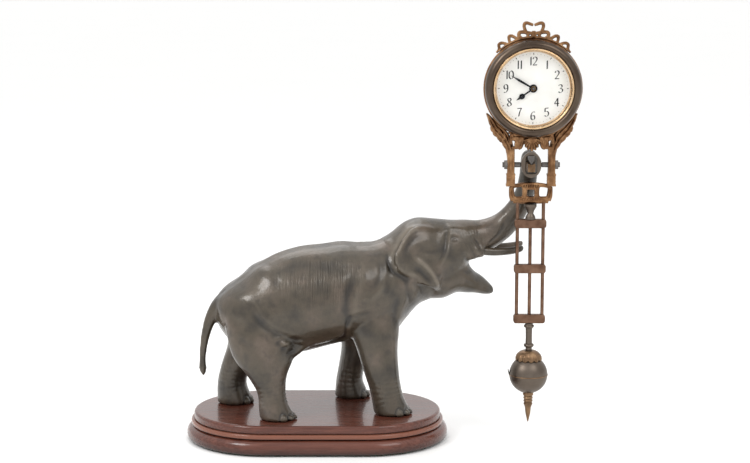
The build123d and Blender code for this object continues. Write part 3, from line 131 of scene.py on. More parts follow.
class Finish:
    """A material, with a short way to add and link its nodes."""

    def __init__(self, name, colour, roughness, metallic=0.0):
        self.material = bpy.data.materials.new(name)
        self.material.use_nodes = True
        self.tree = self.material.node_tree
        self.shader = self.tree.nodes["Principled BSDF"]
        self.set(**{"Base Color": tint(*colour), "Roughness": roughness, "Metallic": metallic})
        self.place = self.add("TexCoord").outputs["Object"]

    def set(self, **values):
        """Numbers and colours that are the same all over the surface."""
        for key, value in values.items():
            self.shader.inputs[key].default_value = value

    def add(self, kind, numbers=None, **links):
        """A node with its numbers set and its inputs linked."""
        made = self.tree.nodes.new("ShaderNode" + kind)
        for key, value in (numbers or {}).items():
            made.inputs[key].default_value = value
        for key, socket in links.items():
            self.tree.links.new(socket, made.inputs[key])
        return made

    def feed(self, key, socket):
        """Links a value or colour to the shader itself."""
        self.tree.links.new(socket, self.shader.inputs[key])

    def noise(self, size, detail, place=None):
        """Cloudy value whose blotches are about size metres across."""
        made = self.add("TexNoise", {"Scale": 1 / size, "Detail": detail}, Vector=place or self.place)
        return made.outputs["Fac"]

    def ramp(self, value, *stops):
        """Colour that follows a value: each stop is a position and a screen colour."""
        made = self.add("ValToRGB", None, Fac=value)
        band = made.color_ramp
        while len(band.elements) < len(stops):
            band.elements.new(0.5)
        for spot, (at, colour) in zip(band.elements, stops):
            spot.position = at
            spot.color = tint(*colour)
        return made.outputs["Color"]

    def spread(self, value, low, high, start=0.3, end=0.7):
        """Value stretched from start..end to low..high."""
        numbers = {"From Min": start, "From Max": end, "To Min": low, "To Max": high}
        return self.add("MapRange", numbers, Value=value).outputs["Result"]

    def blend(self, share, one, two):
        """Mix of two colours by a value; either may be a socket or a screen colour."""
        made = self.tree.nodes.new("ShaderNodeMix")
        made.data_type = "RGBA"
        self.tree.links.new(share, made.inputs[0])
        for socket, colour in ((made.inputs[6], one), (made.inputs[7], two)):
            if isinstance(colour, tuple):
                socket.default_value = tint(*colour)
            else:
                self.tree.links.new(colour, socket)
        return made.outputs[2]

    def bump(self, height, depth, strength, under=None):
        """Surface relief of a height value, depth metres deep, over another relief."""
        made = self.add("Bump", {"Strength": strength, "Distance": depth}, Height=height)
        if under:
            self.tree.links.new(under, made.inputs["Normal"])
        self.feed("Normal", made.outputs["Normal"])
        return made.outputs["Normal"]

    def math(self, how, one, two):
        """Sum, product or the like of a value with a number or another value."""
        made = self.tree.nodes.new("ShaderNodeMath")
        made.operation = how
        for socket, value in zip(made.inputs, (one, two)):
            if isinstance(value, (int, float)):
                socket.default_value = value
            else:
                self.tree.links.new(value, socket)
        return made.outputs["Value"]

# %% [markdown]
# The finishes of the real clock: dark patina on the elephant, polished mahogany, old gilding on the cast
# ornaments, brown bronze on the rods, and lacquered brass, steel, glass and enamel in the clock itself.
# The elephant's patina reads an attribute called relief, which the modelling cells paint on each vertex:
# below zero in folds, where wax and dust collect, and above zero on ridges, where hands have worn it.

# %% Patina
patina = Finish("dark_patina", (62, 56, 46), 0.40, 0.3)
cloud = patina.noise(0.020, 6.0)
blotch = patina.noise(0.007, 5.0)
fine = patina.noise(0.0009, 4.0)
browns = ((0.32, (47, 41, 33)), (0.46, (69, 61, 49)), (0.58, (77, 67, 55)), (0.72, (95, 82, 71)))
base = patina.ramp(cloud, *browns)
base = patina.blend(patina.spread(blotch, 0.5, 0.0, 0.32, 0.5), base, (43, 38, 32))
relief = patina.add("Attribute")
relief.attribute_name = "relief"
worn = patina.spread(relief.outputs["Fac"], 0.0, 0.5, 0.1, 1.0)
dusky = patina.spread(relief.outputs["Fac"], 0.8, 0.0, -0.9, -0.08)
base = patina.blend(worn, base, (132, 122, 108))
base = patina.blend(dusky, base, (18, 15, 12))
patina.feed("Base Color", base)
patina.feed("Roughness", patina.spread(blotch, 0.30, 0.46))
skin_bump = patina.bump(fine, 0.0002, 0.5)
stroke_place = patina.add("Mapping", {"Scale": (1.0, 1.0, 0.32)}, Vector=patina.place).outputs["Vector"]
chasing = patina.noise(0.0024, 5.0, stroke_place)
skin_bump = patina.bump(chasing, 0.0004, 0.6, skin_bump)
line_place = patina.add("Mapping", {"Scale": (1.0, 0.06, 0.05)}, Vector=patina.place).outputs["Vector"]
lines = patina.spread(patina.noise(0.0014, 2.0, line_place), 0.0, 1.0, 0.38, 0.60)
flank = patina.add("Attribute")
flank.attribute_name = "wrinkle"
furrow = patina.math("MULTIPLY", lines, flank.outputs["Fac"])
patina.bump(furrow, 0.0006, 0.9, skin_bump)
patina.set(**{"Specular IOR Level": 0.5, "Coat Weight": 0.42, "Coat Roughness": 0.15})
print("patina:", len(patina.tree.nodes), "nodes")

# %% [markdown]
# The plinth is mahogany under a shellac polish. A picture of wood is the usual way, but a noise drawn out
# along the grain needs no file and fits every face of the plinth. Height above the table does the rest:
# the foot is darker and the groove below the bead is nearly black, both painted shade, and the bead is
# lighter.

# %% Mahogany
bead_height = 0.0132
groove_height = 0.0112
wood = Finish("polished_mahogany", (70, 32, 24), 0.16)
stretch = wood.add("Mapping", {"Scale": (0.07, 1.0, 1.0)}, Vector=wood.place)
fibre = wood.noise(0.0014, 6.0, stretch.outputs["Vector"])
figure_tone = wood.noise(0.018, 4.0, stretch.outputs["Vector"])
grain = wood.ramp(fibre, (0.30, (61, 32, 25)), (0.5, (87, 47, 36)), (0.72, (115, 67, 52)))
broad = wood.ramp(figure_tone, (0.3, (64, 34, 27)), (0.7, (105, 60, 47)))
height = wood.add("SeparateXYZ", None, Vector=wood.place).outputs["Z"]
streaks = wood.blend(wood.spread(figure_tone, 0.25, 0.65), grain, broad)
# painted shade: the foot of the plinth is darkened by its height above the table
foot_shade = wood.spread(height, 0.8, 0.0, 0.001, 0.0075)
shaded_wood = wood.blend(foot_shade, streaks, (30, 13, 11))
bead_gap = wood.math("ABSOLUTE", wood.math("SUBTRACT", height, bead_height), 0.0)
shaded_wood = wood.blend(wood.spread(bead_gap, 0.8, 0.0, 0.0009, 0.0017), shaded_wood, (126, 77, 58))
# painted shade: the groove below the bead is painted nearly black
groove_gap = wood.math("ABSOLUTE", wood.math("SUBTRACT", height, groove_height), 0.0)
shaded_wood = wood.blend(wood.spread(groove_gap, 0.7, 0.0, 0.0002, 0.0007), shaded_wood, (24, 11, 9))
wood.feed("Base Color", shaded_wood)
wood.feed("Roughness", wood.spread(fibre, 0.22, 0.34))
wood.bump(fibre, 0.00004, 0.3)
wood.set(**{"Coat Weight": 0.5, "Coat Roughness": 0.07, "Coat IOR": 1.5, "Specular IOR Level": 0.2})
print("mahogany:", len(wood.tree.nodes), "nodes")


# %% [markdown]
# The metals share one recipe: a cloudy tone, a roughness that follows it, and a darker colour where the
# surface is shut in, which is partly tarnish and partly painted shade. The Ambient Occlusion node finds
# those places on any solid, old or new.

# %% Metals
def metal(name, dark, mid, light, rough, tarnish_and_shade, close=0.0018, cloud_size=0.006):
    """Metal with a cloudy tone, and tarnish with painted shade in its recesses."""
    made = Finish(name, mid, rough, 1.0)
    haze = made.noise(cloud_size, 5.0)
    tone = made.ramp(haze, (0.3, dark), (0.5, mid), (0.74, light))
    # painted shade together with tarnish: the colour darkens where the AO node finds the surface shut in
    shut = made.add("AmbientOcclusion", {"Distance": close})
    shut.samples = 8
    share = made.spread(shut.outputs["AO"], 1.0, 0.0, 0.25, 0.85)
    made.feed("Base Color", made.blend(share, tone, tarnish_and_shade))
    made.feed("Roughness", made.spread(haze, rough * 0.82, rough * 1.25))
    made.bump(made.noise(cloud_size * 0.09, 3.0), 0.00006, 0.3)
    print("metal:", name)
    return made


gilt = metal("old_gilding", (86, 60, 42), (126, 92, 64), (168, 130, 94), 0.36, (50, 31, 19), close=0.0026)
antique = metal(
    "antique_gilding", (100, 79, 60), (130, 104, 80), (160, 132, 102), 0.40, (54, 39, 28), close=0.0026
)
bronze = metal("brown_bronze", (92, 68, 55), (114, 87, 71), (134, 106, 88), 0.42, (44, 30, 25))
bezel_bronze = metal(
    "smoked_bronze", (70, 59, 51), (86, 74, 64), (102, 90, 78), 0.30, (40, 31, 27), cloud_size=0.02
)
bright_gilt = metal(
    "bright_gilding", (206, 168, 124), (222, 188, 146), (234, 206, 168), 0.26, (150, 108, 72), close=0.0006
)
shell_bronze = metal(
    "umber_bronze", (90, 81, 73), (106, 96, 87), (122, 112, 102), 0.42, (44, 36, 30), cloud_size=0.02
)
brass = metal(
    "lacquered_brass", (124, 100, 64), (142, 116, 78), (160, 134, 94), 0.32, (70, 52, 32), cloud_size=0.012
)
steel = metal("bright_steel", (142, 142, 144), (168, 168, 170), (190, 190, 190), 0.28, (60, 58, 56))
grey_steel = metal("grey_steel", (84, 80, 78), (104, 100, 97), (126, 121, 117), 0.36, (40, 37, 35))
black_steel = metal("blackened_steel", (32, 33, 36), (44, 45, 48), (60, 60, 62), 0.38, (14, 13, 13))

# %% [markdown]
# The dial is fired enamel, a white that is a little creamier where it pooled. Glass of the usual index
# would bend and dim the numerals behind it, so this thin crystal gets a lower one. Green baize lies under
# the plinth, and the table is a pale paper whose gloss is not quite even.

# %% Enamel, glass and baize
enamel = Finish("white_enamel", (250, 249, 244), 0.12)
pool = enamel.noise(0.012, 3.0)
enamel.feed("Base Color", enamel.ramp(pool, (0.3, (252, 251, 247)), (0.7, (244, 243, 237))))
enamel.bump(enamel.noise(0.003, 2.0), 0.00002, 0.2)
enamel.set(**{"Coat Weight": 0.3, "Coat Roughness": 0.05})

black_ink = Finish("fired_black", (16, 16, 17), 0.30)
black_ink.feed("Roughness", black_ink.spread(black_ink.noise(0.0015, 3.0), 0.24, 0.42))

glass = Finish("crown_glass", (255, 255, 255), 0.0)
glass.set(**{"Transmission Weight": 1.0, "IOR": 1.12})
glass.bump(glass.noise(0.02, 2.0), 0.00002, 0.1)

baize = Finish("green_baize", (38, 62, 42), 0.95)
nap = baize.noise(0.0006, 4.0)
baize.feed("Base Color", baize.ramp(nap, (0.3, (26, 46, 30)), (0.7, (50, 78, 54))))
baize.bump(nap, 0.0003, 0.8)
baize.set(**{"Sheen Weight": 0.4, "Sheen Roughness": 0.5})

paper = Finish("pale_table", (246, 246, 245), 0.55)
paper.feed("Roughness", paper.spread(paper.noise(0.4, 2.0), 0.5, 0.62))
table_mesh.materials.append(paper.material)
print("other finishes:", [f.material.name for f in (enamel, black_ink, glass, baize, paper)])

# %% [markdown]
# Every solid that stays in view now gets its finish. Grouping the names by finish, as a maker would sort
# parts for the plater, keeps one short list for each bath.

# %% Finishes on the solids
baths = {
    wood: "plinth",
    baize: "base_felt",
    patina: "elephant_body tail right_tusk left_tusk",
    gilt: "gilt_rim crest yoke apron bridge_mount",
    bright_gilt: "sight_ring",
    antique: "bob_cap rating_nut seat_block",
    bronze: "top_crossbar middle_crossbar bottom_crossbar side_rods centre_rod",
    shell_bronze: "bezel bob_upper bob_lower rod_cup neck hanger_ring",
    brass: "case_drum rear_cover front_plate back_plate pillars balance_weight set_knob hand_nut hour_wheel"
    " minute_wheel barrel barrel_cap centre_wheel escape_wheel drive_pendulum winding_key",
    steel: "foot_bolts foot_washers seat_screw movement_screws click centre_arbor mainspring"
    " barrel_arbor ratchet_wheel third_wheel anchor",
    grey_steel: "pivot_screws lock_nuts knife_edge",
    black_steel: "minute_hand hour_hand",
    glass: "crystal",
    enamel: "dial",
}
for finish, names in baths.items():
    for name in names.split():
        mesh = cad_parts[name].data
        mesh.materials.clear()
        mesh.materials.append(finish.material)
print("finishes:", len(baths), "on", sum(len(names.split()) for names in baths.values()), "solids")

# %% [markdown]
# ## The elephant
# The real elephant is a hollow metal casting made from a modelled figure. It could be carved by hand in
# sculpt mode, but a script can't do that, so it is built as a sculptor would block it out: oval sections
# are skinned into a body, legs, jaw and tusk sleeves, ears are cut from sheet, and a voxel remesh then
# melts all of them into one clay. The work is done in millimetres in the elephant's own frame: x forward,
# y to its left, z up from the plinth.

# %% Small helpers
along_x = (1, 0, 0)
along_y = (0, 1, 0)
along_z = (0, 0, 1)


def face_out(shape):
    """Turns every face of a bmesh outwards."""
    bmesh.ops.recalc_face_normals(shape, faces=shape.faces[:])


def verts_of(made):
    """The vertices among what an operator made."""
    return [item for item in made if isinstance(item, bmesh.types.BMVert)]


def as_mesh(shape, name, smooth=True):
    """Mesh of a bmesh, which is then freed."""
    made = bpy.data.meshes.new(name)
    shape.to_mesh(made)
    shape.free()
    if smooth:
        made.shade_smooth()
    return made


# %% Skins over sections
def smooth_run(stations, steps):
    """Stations with more put between them, on a smooth run through them all."""
    table = np.array(stations, float)
    last = len(table) - 1
    run = []
    for i in range(last):
        before, here, there, after = (table[min(max(i + k, 0), last)] for k in (-1, 0, 1, 2))
        for t in np.arange(steps) / steps:
            bend = (2 * before - 5 * here + 4 * there - after) * t**2
            twist = (3 * here - before - 3 * there + after) * t**3
            run.append(0.5 * (2 * here + (there - before) * t + bend + twist))
    run.append(table[last])
    return run


def skin(clay, stations, side, up=None, corners=32, steps=4):
    """Skin over oval sections: place, half size to the side, half size along up.

    Without up, the sections face along the run.
    """
    run = smooth_run(stations, steps)
    across = Vector(side)
    loops = []
    for i, (x, y, z, half_side, half_up) in enumerate(run):
        ahead = Vector(run[min(i + 1, len(run) - 1)][:3]) - Vector(run[max(i - 1, 0)][:3])
        other = Vector(up) if up else ahead.cross(across).normalized()
        place = Matrix.Identity(4)
        place.col[0] = (*(across * half_side), 0)
        place.col[1] = (*(other * half_up), 0)
        place.col[3] = (x, y, z, 1)
        made = bmesh.ops.create_circle(clay, segments=corners, radius=1.0)["verts"]
        bmesh.ops.transform(clay, matrix=place, verts=made)
        loops.append(list({edge for vert in made for edge in vert.link_edges}))
    for one, two in zip(loops, loops[1:]):
        bmesh.ops.bridge_loops(clay, edges=one + two)
    bmesh.ops.holes_fill(clay, edges=loops[0] + loops[-1], sides=0)


# %% [markdown]
# Each line of sections below gives a place and two half sizes. The trunk's end is set from where the
# clock hangs, so that it meets the seat block. Far legs and near legs differ, because the animal walks.

# %% Lines of the figure
yaw = math.radians(10)
beast_place = Matrix.Translation((0, 0, 0.020)) @ Matrix.Rotation(yaw, 4, "Z") @ Matrix.Scale(0.001, 4)
trunk_tip = beast_place.inverted() @ Vector((0.146, 0.0135, 0.1892))
body_line = [
    (-69.5, 0, 73.0, 6.0, 5.0), (-66.5, 0, 70.0, 15.0, 11.5), (-58.0, 0, 68.3, 24.5, 20.2),
    (-46.0, 0, 69.8, 30.5, 27.7), (-30.0, 0, 73.7, 33.5, 33.7), (-12.0, 0, 76.7, 34.8, 36.2),
    (4.0, 0, 79.2, 34.6, 35.2), (17.0, 0, 81.3, 33.6, 34.5), (30.0, 0, 81.9, 32.4, 32.8),
    (42.0, 0, 83.2, 30.0, 32.4), (52.0, 0, 86.3, 27.6, 34.7), (61.0, 0, 94.4, 24.8, 33.6),
    (70.0, 0, 101.0, 23.0, 30.3), (82.0, 0, 103.2, 21.3, 27.2), (94.0, 0, 107.5, 18.4, 21.6),
    (103.5, 0, 113.2, 15.2, 15.8), (111.0, 0, 116.0, 12.6, 12.4),
]
trunk_line = [
    (103.0, 0, 115.0, 12.0, 12.0), (113.0, 0, 116.4, 12.2, 12.0), (122.5, -0.6, 119.8, 10.6, 10.5),
    (131.0, -2.2, 125.4, 9.2, 9.2), (138.0, -4.8, 134.0, 8.0, 8.0),
    (trunk_tip.x - 2.6, trunk_tip.y + 5.0, trunk_tip.z - 24.0, 7.0, 7.0),
    (trunk_tip.x - 0.6, trunk_tip.y + 1.8, trunk_tip.z - 12.0, 6.4, 6.4),
    (trunk_tip.x, trunk_tip.y, trunk_tip.z, 6.2, 6.2),
    (trunk_tip.x, trunk_tip.y, trunk_tip.z + 4.0, 5.9, 5.9),
    (trunk_tip.x, trunk_tip.y, trunk_tip.z + 7.0, 4.6, 4.6),
    (trunk_tip.x, trunk_tip.y, trunk_tip.z + 9.2, 1.8, 1.8),
]
near_fore = [
    (40, -12, 80, 15, 11), (37, -17, 62, 17.5, 13), (38.5, -20.5, 45, 14.2, 12.2),
    (40.8, -23, 30, 12.2, 11.2), (43.6, -24.5, 17, 11.0, 10.8), (46, -25, 8, 11.6, 11.3),
    (49, -25.5, 0.2, 13.4, 12.4),
]
far_fore = [
    (36, 12, 80, 15, 11), (33, 18, 60, 15.5, 12.5), (31.5, 23, 39, 10.8, 11.2),
    (28.6, 25.5, 24, 9.4, 10.2), (27, 27, 12, 9.6, 10.2), (29.5, 28, 0.2, 12.8, 12),
]
near_hind = [
    (-38, -9, 86, 16, 10), (-42, -14, 74, 21.5, 13.5), (-42, -17.5, 62, 22.5, 14.5),
    (-39.6, -21.5, 43, 20.8, 13.8), (-37.4, -23.5, 30, 13.6, 11.6), (-34.6, -24.5, 18, 9.7, 10.3),
    (-33, -25, 8, 10.4, 11), (-30, -26, 0.2, 13, 12),
]
far_hind = [
    (-40, 9, 86, 15, 10), (-41, 14, 74, 18, 13), (-41.5, 18, 60, 17, 13.5), (-46, 22, 43, 13.4, 12),
    (-53, 23.5, 28, 11.0, 10.8), (-56.6, 24.5, 15, 10.2, 10.4), (-54, 25, 0.2, 13, 12),
]
jaw_line = [
    (80, 0, 90, 18, 15.6), (88, 0, 88.8, 18, 14.2), (97, 0, 90, 15.8, 11.8), (104, 0, 88.8, 12.4, 11.2),
    (110.5, 0, 85.2, 9.2, 7.9), (116, 0, 82.8, 6.4, 6.6), (120.5, 0, 80.6, 4.4, 4.7),
    (124.6, 0, 78.6, 2.4, 2.2),
]
tail_line = [
    (-58, 0, 80, 5.5, 5.5), (-66.5, 0, 74.6, 5.6, 5.6), (-72.2, -0.2, 67, 4.4, 4.4),
    (-76, -0.6, 57, 3.4, 3.4), (-78.2, -1, 46, 2.7, 2.7), (-79, -1.5, 37, 2.4, 2.4),
    (-78.9, -2, 31, 2.8, 2.8), (-78.3, -2, 26, 0.9, 0.9),
]
tusk_sleeve = [
    (98, 8.4, 108.5, 4.6, 4.4), (106, 9.4, 108.6, 5.8, 5.4), (112, 9.6, 108.6, 5.4, 5.0),
    (115, 9.7, 108.6, 4.2, 3.9),
]
flank_flap = [
    (-34, 22, 50, 9, 9), (-25, 22.5, 47.5, 7.5, 7.5), (-18.5, 22, 46.2, 4.6, 5.2), (-12, 20, 49.2, 3.8, 4.2),
    (-4, 18, 54, 4, 4),
]
print("trunk tip at", [round(v, 1) for v in trunk_tip], "mm")

# %% [markdown]
# Skins over these lines give closed shapes that run into one another. Body, trunk, legs, jaw and tail
# come first, then a sleeve for each tusk and the flap of loose skin between the flank and the hind leg.

# %% Body, legs and jaw
clay = bmesh.new()
skin(clay, body_line, along_y, along_z, corners=40)
skin(clay, trunk_line, along_y)
for leg in (near_fore, far_fore, near_hind, far_hind):
    skin(clay, leg, along_x, along_y)
skin(clay, jaw_line, along_y, along_z, corners=24)
skin(clay, tail_line, along_y, corners=20)
for side in (-1, 1):
    skin(clay, [(x, y * side, z, w, h) for x, y, z, w, h in tusk_sleeve], along_y, along_z, corners=20)
for side, back, up in ((-1, 0.0, 0.0), (1, -9.0, 3.5)):
    loose_skin = [(x + back, y * side, z + up, w, h) for x, y, z, w, h in flank_flap]
    skin(clay, loose_skin, along_y, along_z, corners=20)
print("blocked out:", len(clay.faces), "faces")

# %% [markdown]
# Each ear is a slab: its outline is filled, drawn out sideways to a thin plate and divided, and then the
# plate is bent. It follows the head where it grows from it, leans away behind, and its lower flap folds
# outwards. The far ear lies closer and its top lower, so that it stays behind the head as seen from in
# front.

# %% Ears
ear_edge = [
    (88, 120), (80, 125.6), (70, 127.8), (61, 125), (53.5, 117), (49, 109.5), (50.5, 102), (56.5, 95.5),
    (64, 90.2), (73, 87.2), (82, 83.0), (83.5, 92), (86.5, 107),
]
ear_thick = 3.0
for side in (-1, 1):
    sheet = bmesh.new()
    run = smooth_run(ear_edge + ear_edge[:3], 3)[3:-6]
    rim = [sheet.verts.new((x, 0, z)) for x, z in run]
    plate = sheet.faces.new(rim)
    lip = bmesh.ops.extrude_face_region(sheet, geom=[plate], use_keep_orig=True)["geom"]
    bmesh.ops.translate(sheet, vec=(0, ear_thick, 0), verts=verts_of(lip))
    bmesh.ops.triangulate(sheet, faces=sheet.faces[:])
    bmesh.ops.subdivide_edges(sheet, edges=sheet.edges[:], cuts=4, use_grid_fill=True)
    for vert in sheet.verts:
        x, layer, z = vert.co
        sink = 2.2 + 3.2 * min(max((x - 74) / 12, 0.0), 1.0)
        root = 20.5 * math.sqrt(max(0.0, 1 - ((z - 104) / 27) ** 2)) - sink
        lean = max(0.0, 87 - x) * (0.22 if side < 0 else 0.15)
        bowl = -1.6 * math.exp(-((x - 66) / 12) ** 2 - ((z - 113) / 10) ** 2)
        flap = 7.0 * math.exp(-((x - 77) / 9) ** 2 - ((z - 87) / 9) ** 2)
        curl = 1.6 * math.exp(-((x - 51) / 5) ** 2 - ((z - 111) / 12) ** 2)
        vert.co.y = side * (root + lean + bowl + flap + curl + layer)
        if side > 0:
            vert.co.z -= 0.13 * max(0.0, z - 95)
    face_out(sheet)
    ear_mesh = as_mesh(sheet, "ear_sheet", smooth=False)
    clay.from_mesh(ear_mesh)
    bpy.data.meshes.remove(ear_mesh)
print("with ears:", len(clay.faces), "faces")


# %% [markdown]
# The remesh lays an even grid of small faces over everything, and a few rounds of smoothing blend the
# joins, so that legs grow out of the body instead of being stuck to it.

# %% One clay
def melt(pieces, name, grain, rounds):
    """One even mesh over all closed shapes of a bmesh, smoothed."""
    face_out(pieces)
    rough = as_mesh(pieces, name + "_rough", smooth=False)
    holder = bpy.data.objects.new(name + "_rough", rough)
    scene.collection.objects.link(holder)
    grid = holder.modifiers.new("grid", "REMESH")
    grid.mode = "VOXEL"
    grid.voxel_size = grain
    soften = holder.modifiers.new("soften", "SMOOTH")
    soften.factor = 0.5
    soften.iterations = rounds
    ready = holder.evaluated_get(bpy.context.evaluated_depsgraph_get())
    made = bpy.data.meshes.new_from_object(ready)
    made.name = name
    bpy.data.objects.remove(holder)
    bpy.data.meshes.remove(rough)
    return made


elephant_mesh = melt(clay, "elephant", grain=0.94, rounds=19)
print("clay:", len(elephant_mesh.vertices), "points")


# %% [markdown]
# Now the modelling tools. A stroke is drawn as a line of points in the side view and presses a groove, or
# raises a ridge, along the surface under it. A swell is a round push. Both work on one side of the
# animal, and both only move points along the surface's own direction, as a modelling tool does.

# %% Modelling tools
class Clay:
    """Points of a mesh, and tools that push them along their own directions."""

    def __init__(self, mesh):
        self.mesh = mesh
        self.at = np.empty((len(mesh.vertices), 3))
        mesh.vertices.foreach_get("co", self.at.ravel())
        self.worked = np.zeros(len(self.at))
        self.turn()

    def turn(self):
        """Takes up the moved points and the directions that they now face."""
        self.mesh.vertices.foreach_set("co", self.at.ravel())
        self.mesh.update()
        self.out = np.empty_like(self.at)
        self.mesh.vertex_normals.foreach_get("vector", self.out.ravel())
        self.push = np.zeros(len(self.at))

    def settle(self):
        """Carries out the pushes made so far."""
        self.at += self.out * self.push[:, None]
        self.worked += self.push
        self.turn()

    def facing(self, side):
        """How far each point belongs to one side of the animal, 0 to 1."""
        lateral = np.clip((self.out[:, 1] * side + 0.05) / 0.3, 0, 1)
        return lateral * (self.at[:, 1] * side > 0.5)

    def gap(self, flat, line):
        """Distance of each point from a line, and its side of it."""
        best = np.full(len(flat), 1e9)
        sign = np.ones(len(flat))
        for a, b in zip(line, line[1:]):
            step = b - a
            share = np.clip(((flat - a) @ step) / (step @ step), 0, 1)
            off = flat - a - share[:, None] * step
            far = np.hypot(off[:, 0], off[:, 1])
            nearer = far < best
            best[nearer] = far[nearer]
            sign[nearer] = np.sign(step[0] * off[nearer, 1] - step[1] * off[nearer, 0])
        return best, sign

    def stroke(self, side, line, depth, width, lip=0.0):
        """Groove along a side-view line, fading at its ends; lip raises the surface on its left."""
        points = np.array(smooth_run(line, 6))
        low, high = points.min(0) - 4 * width, points.max(0) + 4 * width
        flat = self.at[:, [0, 2]]
        near = np.all((flat > low) & (flat < high), axis=1)
        far, sign = self.gap(flat[near], points)
        ends = np.minimum(*(np.hypot(*(flat[near] - end).T) for end in (points[0], points[-1])))
        fade = np.clip(ends / (3 * width), 0.25, 1)
        cut = -depth * np.exp(-((far / width) ** 2))
        fold = lip * np.exp(-(((far - 1.7 * width) / (1.1 * width)) ** 2)) * (sign > 0)
        self.push[near] += (cut + fold) * fade * self.facing(side)[near]

    def swell(self, side, x, z, height, wide, tall):
        """Round push at a side-view point."""
        flat = ((self.at[:, 0] - x) / wide) ** 2 + ((self.at[:, 2] - z) / tall) ** 2
        self.push += height * np.exp(-flat) * self.facing(side)

    def rings(self, stations, spacing, depth, start, end, reach):
        """Creases round a limb, spacing apart, between two shares of its length."""
        line = np.array(smooth_run([s[:3] for s in stations], 8))
        along = np.concatenate(([0], np.cumsum(np.linalg.norm(np.diff(line, axis=0), axis=1))))
        low, high = line.min(0) - reach, line.max(0) + reach
        near = np.flatnonzero(np.all((self.at > low) & (self.at < high), axis=1))
        span = self.at[near][:, None, :] - line[None, :, :]
        far = np.linalg.norm(span, axis=2)
        pick = far.argmin(1)
        step = span[np.arange(len(near)), pick]
        ahead = np.gradient(line, along, axis=0)[pick]
        here = along[pick] + np.einsum("ij,ij->i", step, ahead)
        around = np.arctan2(step[:, 1], step[:, 2])
        wobble = 0.35 * np.sin(2.3 * around + 0.21 * here) + 0.25 * np.sin(5.1 * around - 0.13 * here)
        wave = np.cos(math.pi * (here / spacing + wobble)) ** 2
        share = here / along[-1]
        window = np.clip((share - start) / 0.06, 0, 1) * np.clip((end - share) / 0.06, 0, 1)
        window = window * (far.min(1) < reach)
        self.push[near] -= depth * wave**3 * window


# %% [markdown]
# First come the large forms: hips, shoulder blades, the ridge of the back, brows and cheeks. Far legs
# stand further back than near ones, so that side's shoulder and hip are drawn with a shift. A row below
# gives the place, height, width and tallness of a swell, and how far it goes with the fore and the hind
# leg's shift.

# %% Large forms
large_forms = [
    (34, 94, 1.8, 12, 15, 1.0, 0.0),
    (33, 66, 1.2, 11, 12, 1.0, 0.0),
    (-40, 98, 1.8, 8, 5, 0.0, 0.3),
    (-55, 83, 1.8, 11, 8, 0.0, 0.2),
    (-44, 60, 1.4, 13, 13, 0.0, 1.0),
    (-25, 52, 1.3, 5, 4, 0.0, 0.4),
    (-15, 51, 1.0, 4, 3, 0.0, 0.3),
    (4, 64, 1.4, 22, 11, 0.0, 0.0),
    (6, 102, -1.0, 26, 6, 0.0, 0.0),
    (20, 84, -1.2, 5, 12, 0.0, 0.0),
    (93, 123.5, 1.1, 7, 3, 0.0, 0.0),
    (88, 116, -0.9, 4.5, 6, 0.0, 0.0),
    (98, 100, 1.2, 8, 7, 0.0, 0.0),
    (106, 110, 1.0, 6, 5, 0.0, 0.0),
]
figure = Clay(elephant_mesh)
for side, fore, hind in ((-1, 0.0, 0.0), (1, -6.0, -10.0)):
    for x, z, height, wide, tall, with_fore, with_hind in large_forms:
        figure.swell(side, x + fore * with_fore + hind * with_hind, z, height, wide, tall)
spine = np.clip(1 - np.abs(figure.at[:, 1]) / 6.0, 0, 1) ** 2 * (figure.out[:, 2] > 0.6)
spine *= (figure.at[:, 0] > -62) & (figure.at[:, 0] < 46)
figure.push += spine * 0.7
figure.settle()
figure.worked[:] = 0
print("large forms:", len(large_forms), "on each side")

# %% [markdown]
# Then the folds: where the legs meet the body, round the neck and behind the ears, along the flank and
# the belly. Each line follows what the figure shows, and most raise a soft lip beside the groove.

# %% Folds of the body
shoulder_folds = [
    ([(23, 99), (18, 90), (15.5, 80), (16, 70), (20, 60)], 0.7, 3.2, 0.3),
    ([(16, 65), (19, 69.5), (26, 71), (35, 72.5)], 0.4, 1.7, 0.2),
    ([(18, 69), (15.8, 61), (15.5, 51)], 0.7, 1.3, 0.3),
    ([(53, 84), (51, 76), (50, 68), (50.5, 58)], 0.6, 2.6, 0.3),
    ([(24, 72), (27, 64), (31, 56)], 0.3, 2.2, 0.0),
    ([(28, 74), (32, 66), (36, 58)], 0.25, 2.2, 0.0),
    ([(30, 106), (33, 98), (33, 90)], 0.4, 3.0, 0.2),
    ([(38, 110), (40, 101), (37, 92), (31, 86)], 0.5, 2.6, 0.3),
    ([(44, 104), (45, 96), (42, 88)], 0.4, 2.4, 0.2),
]
hip_folds = [
    ([(-49, 77), (-43, 68), (-34, 60.5), (-24, 56), (-12, 52)], 0.6, 2.2, 0.22),
    ([(-34, 57), (-28, 50), (-22, 47.5), (-14, 48)], 0.6, 1.9, 0.3),
    ([(-23, 54), (-18, 50.5), (-12, 50)], 0.5, 1.5, 0.3),
    ([(-36, 100), (-31, 95), (-28, 88)], 0.4, 2.8, 0.2),
    ([(-47, 95), (-52, 90), (-60, 87)], 0.4, 2.6, 0.2),
    ([(-60, 60), (-54, 54), (-46, 50)], 0.25, 2.6, 0.0),
    ([(-33, 53), (-29, 55), (-25, 54)], 0.45, 1.1, 0.3),
    ([(-30, 48), (-26, 50.5), (-21, 51)], 0.45, 1.1, 0.3),
    ([(-27, 44), (-23, 46), (-18, 46)], 0.35, 1.1, 0.2),
]
flank_folds = [
    ([(-8, 47), (2, 48.5), (12, 52), (18, 57)], 0.6, 2.0, 0.3),
    ([(-30, 101), (-14, 104), (4, 103.5), (20, 100)], 0.35, 3.4, 0.2),
    ([(-22, 84), (-20, 74), (-16, 66)], 0.25, 3.0, 0.1),
]
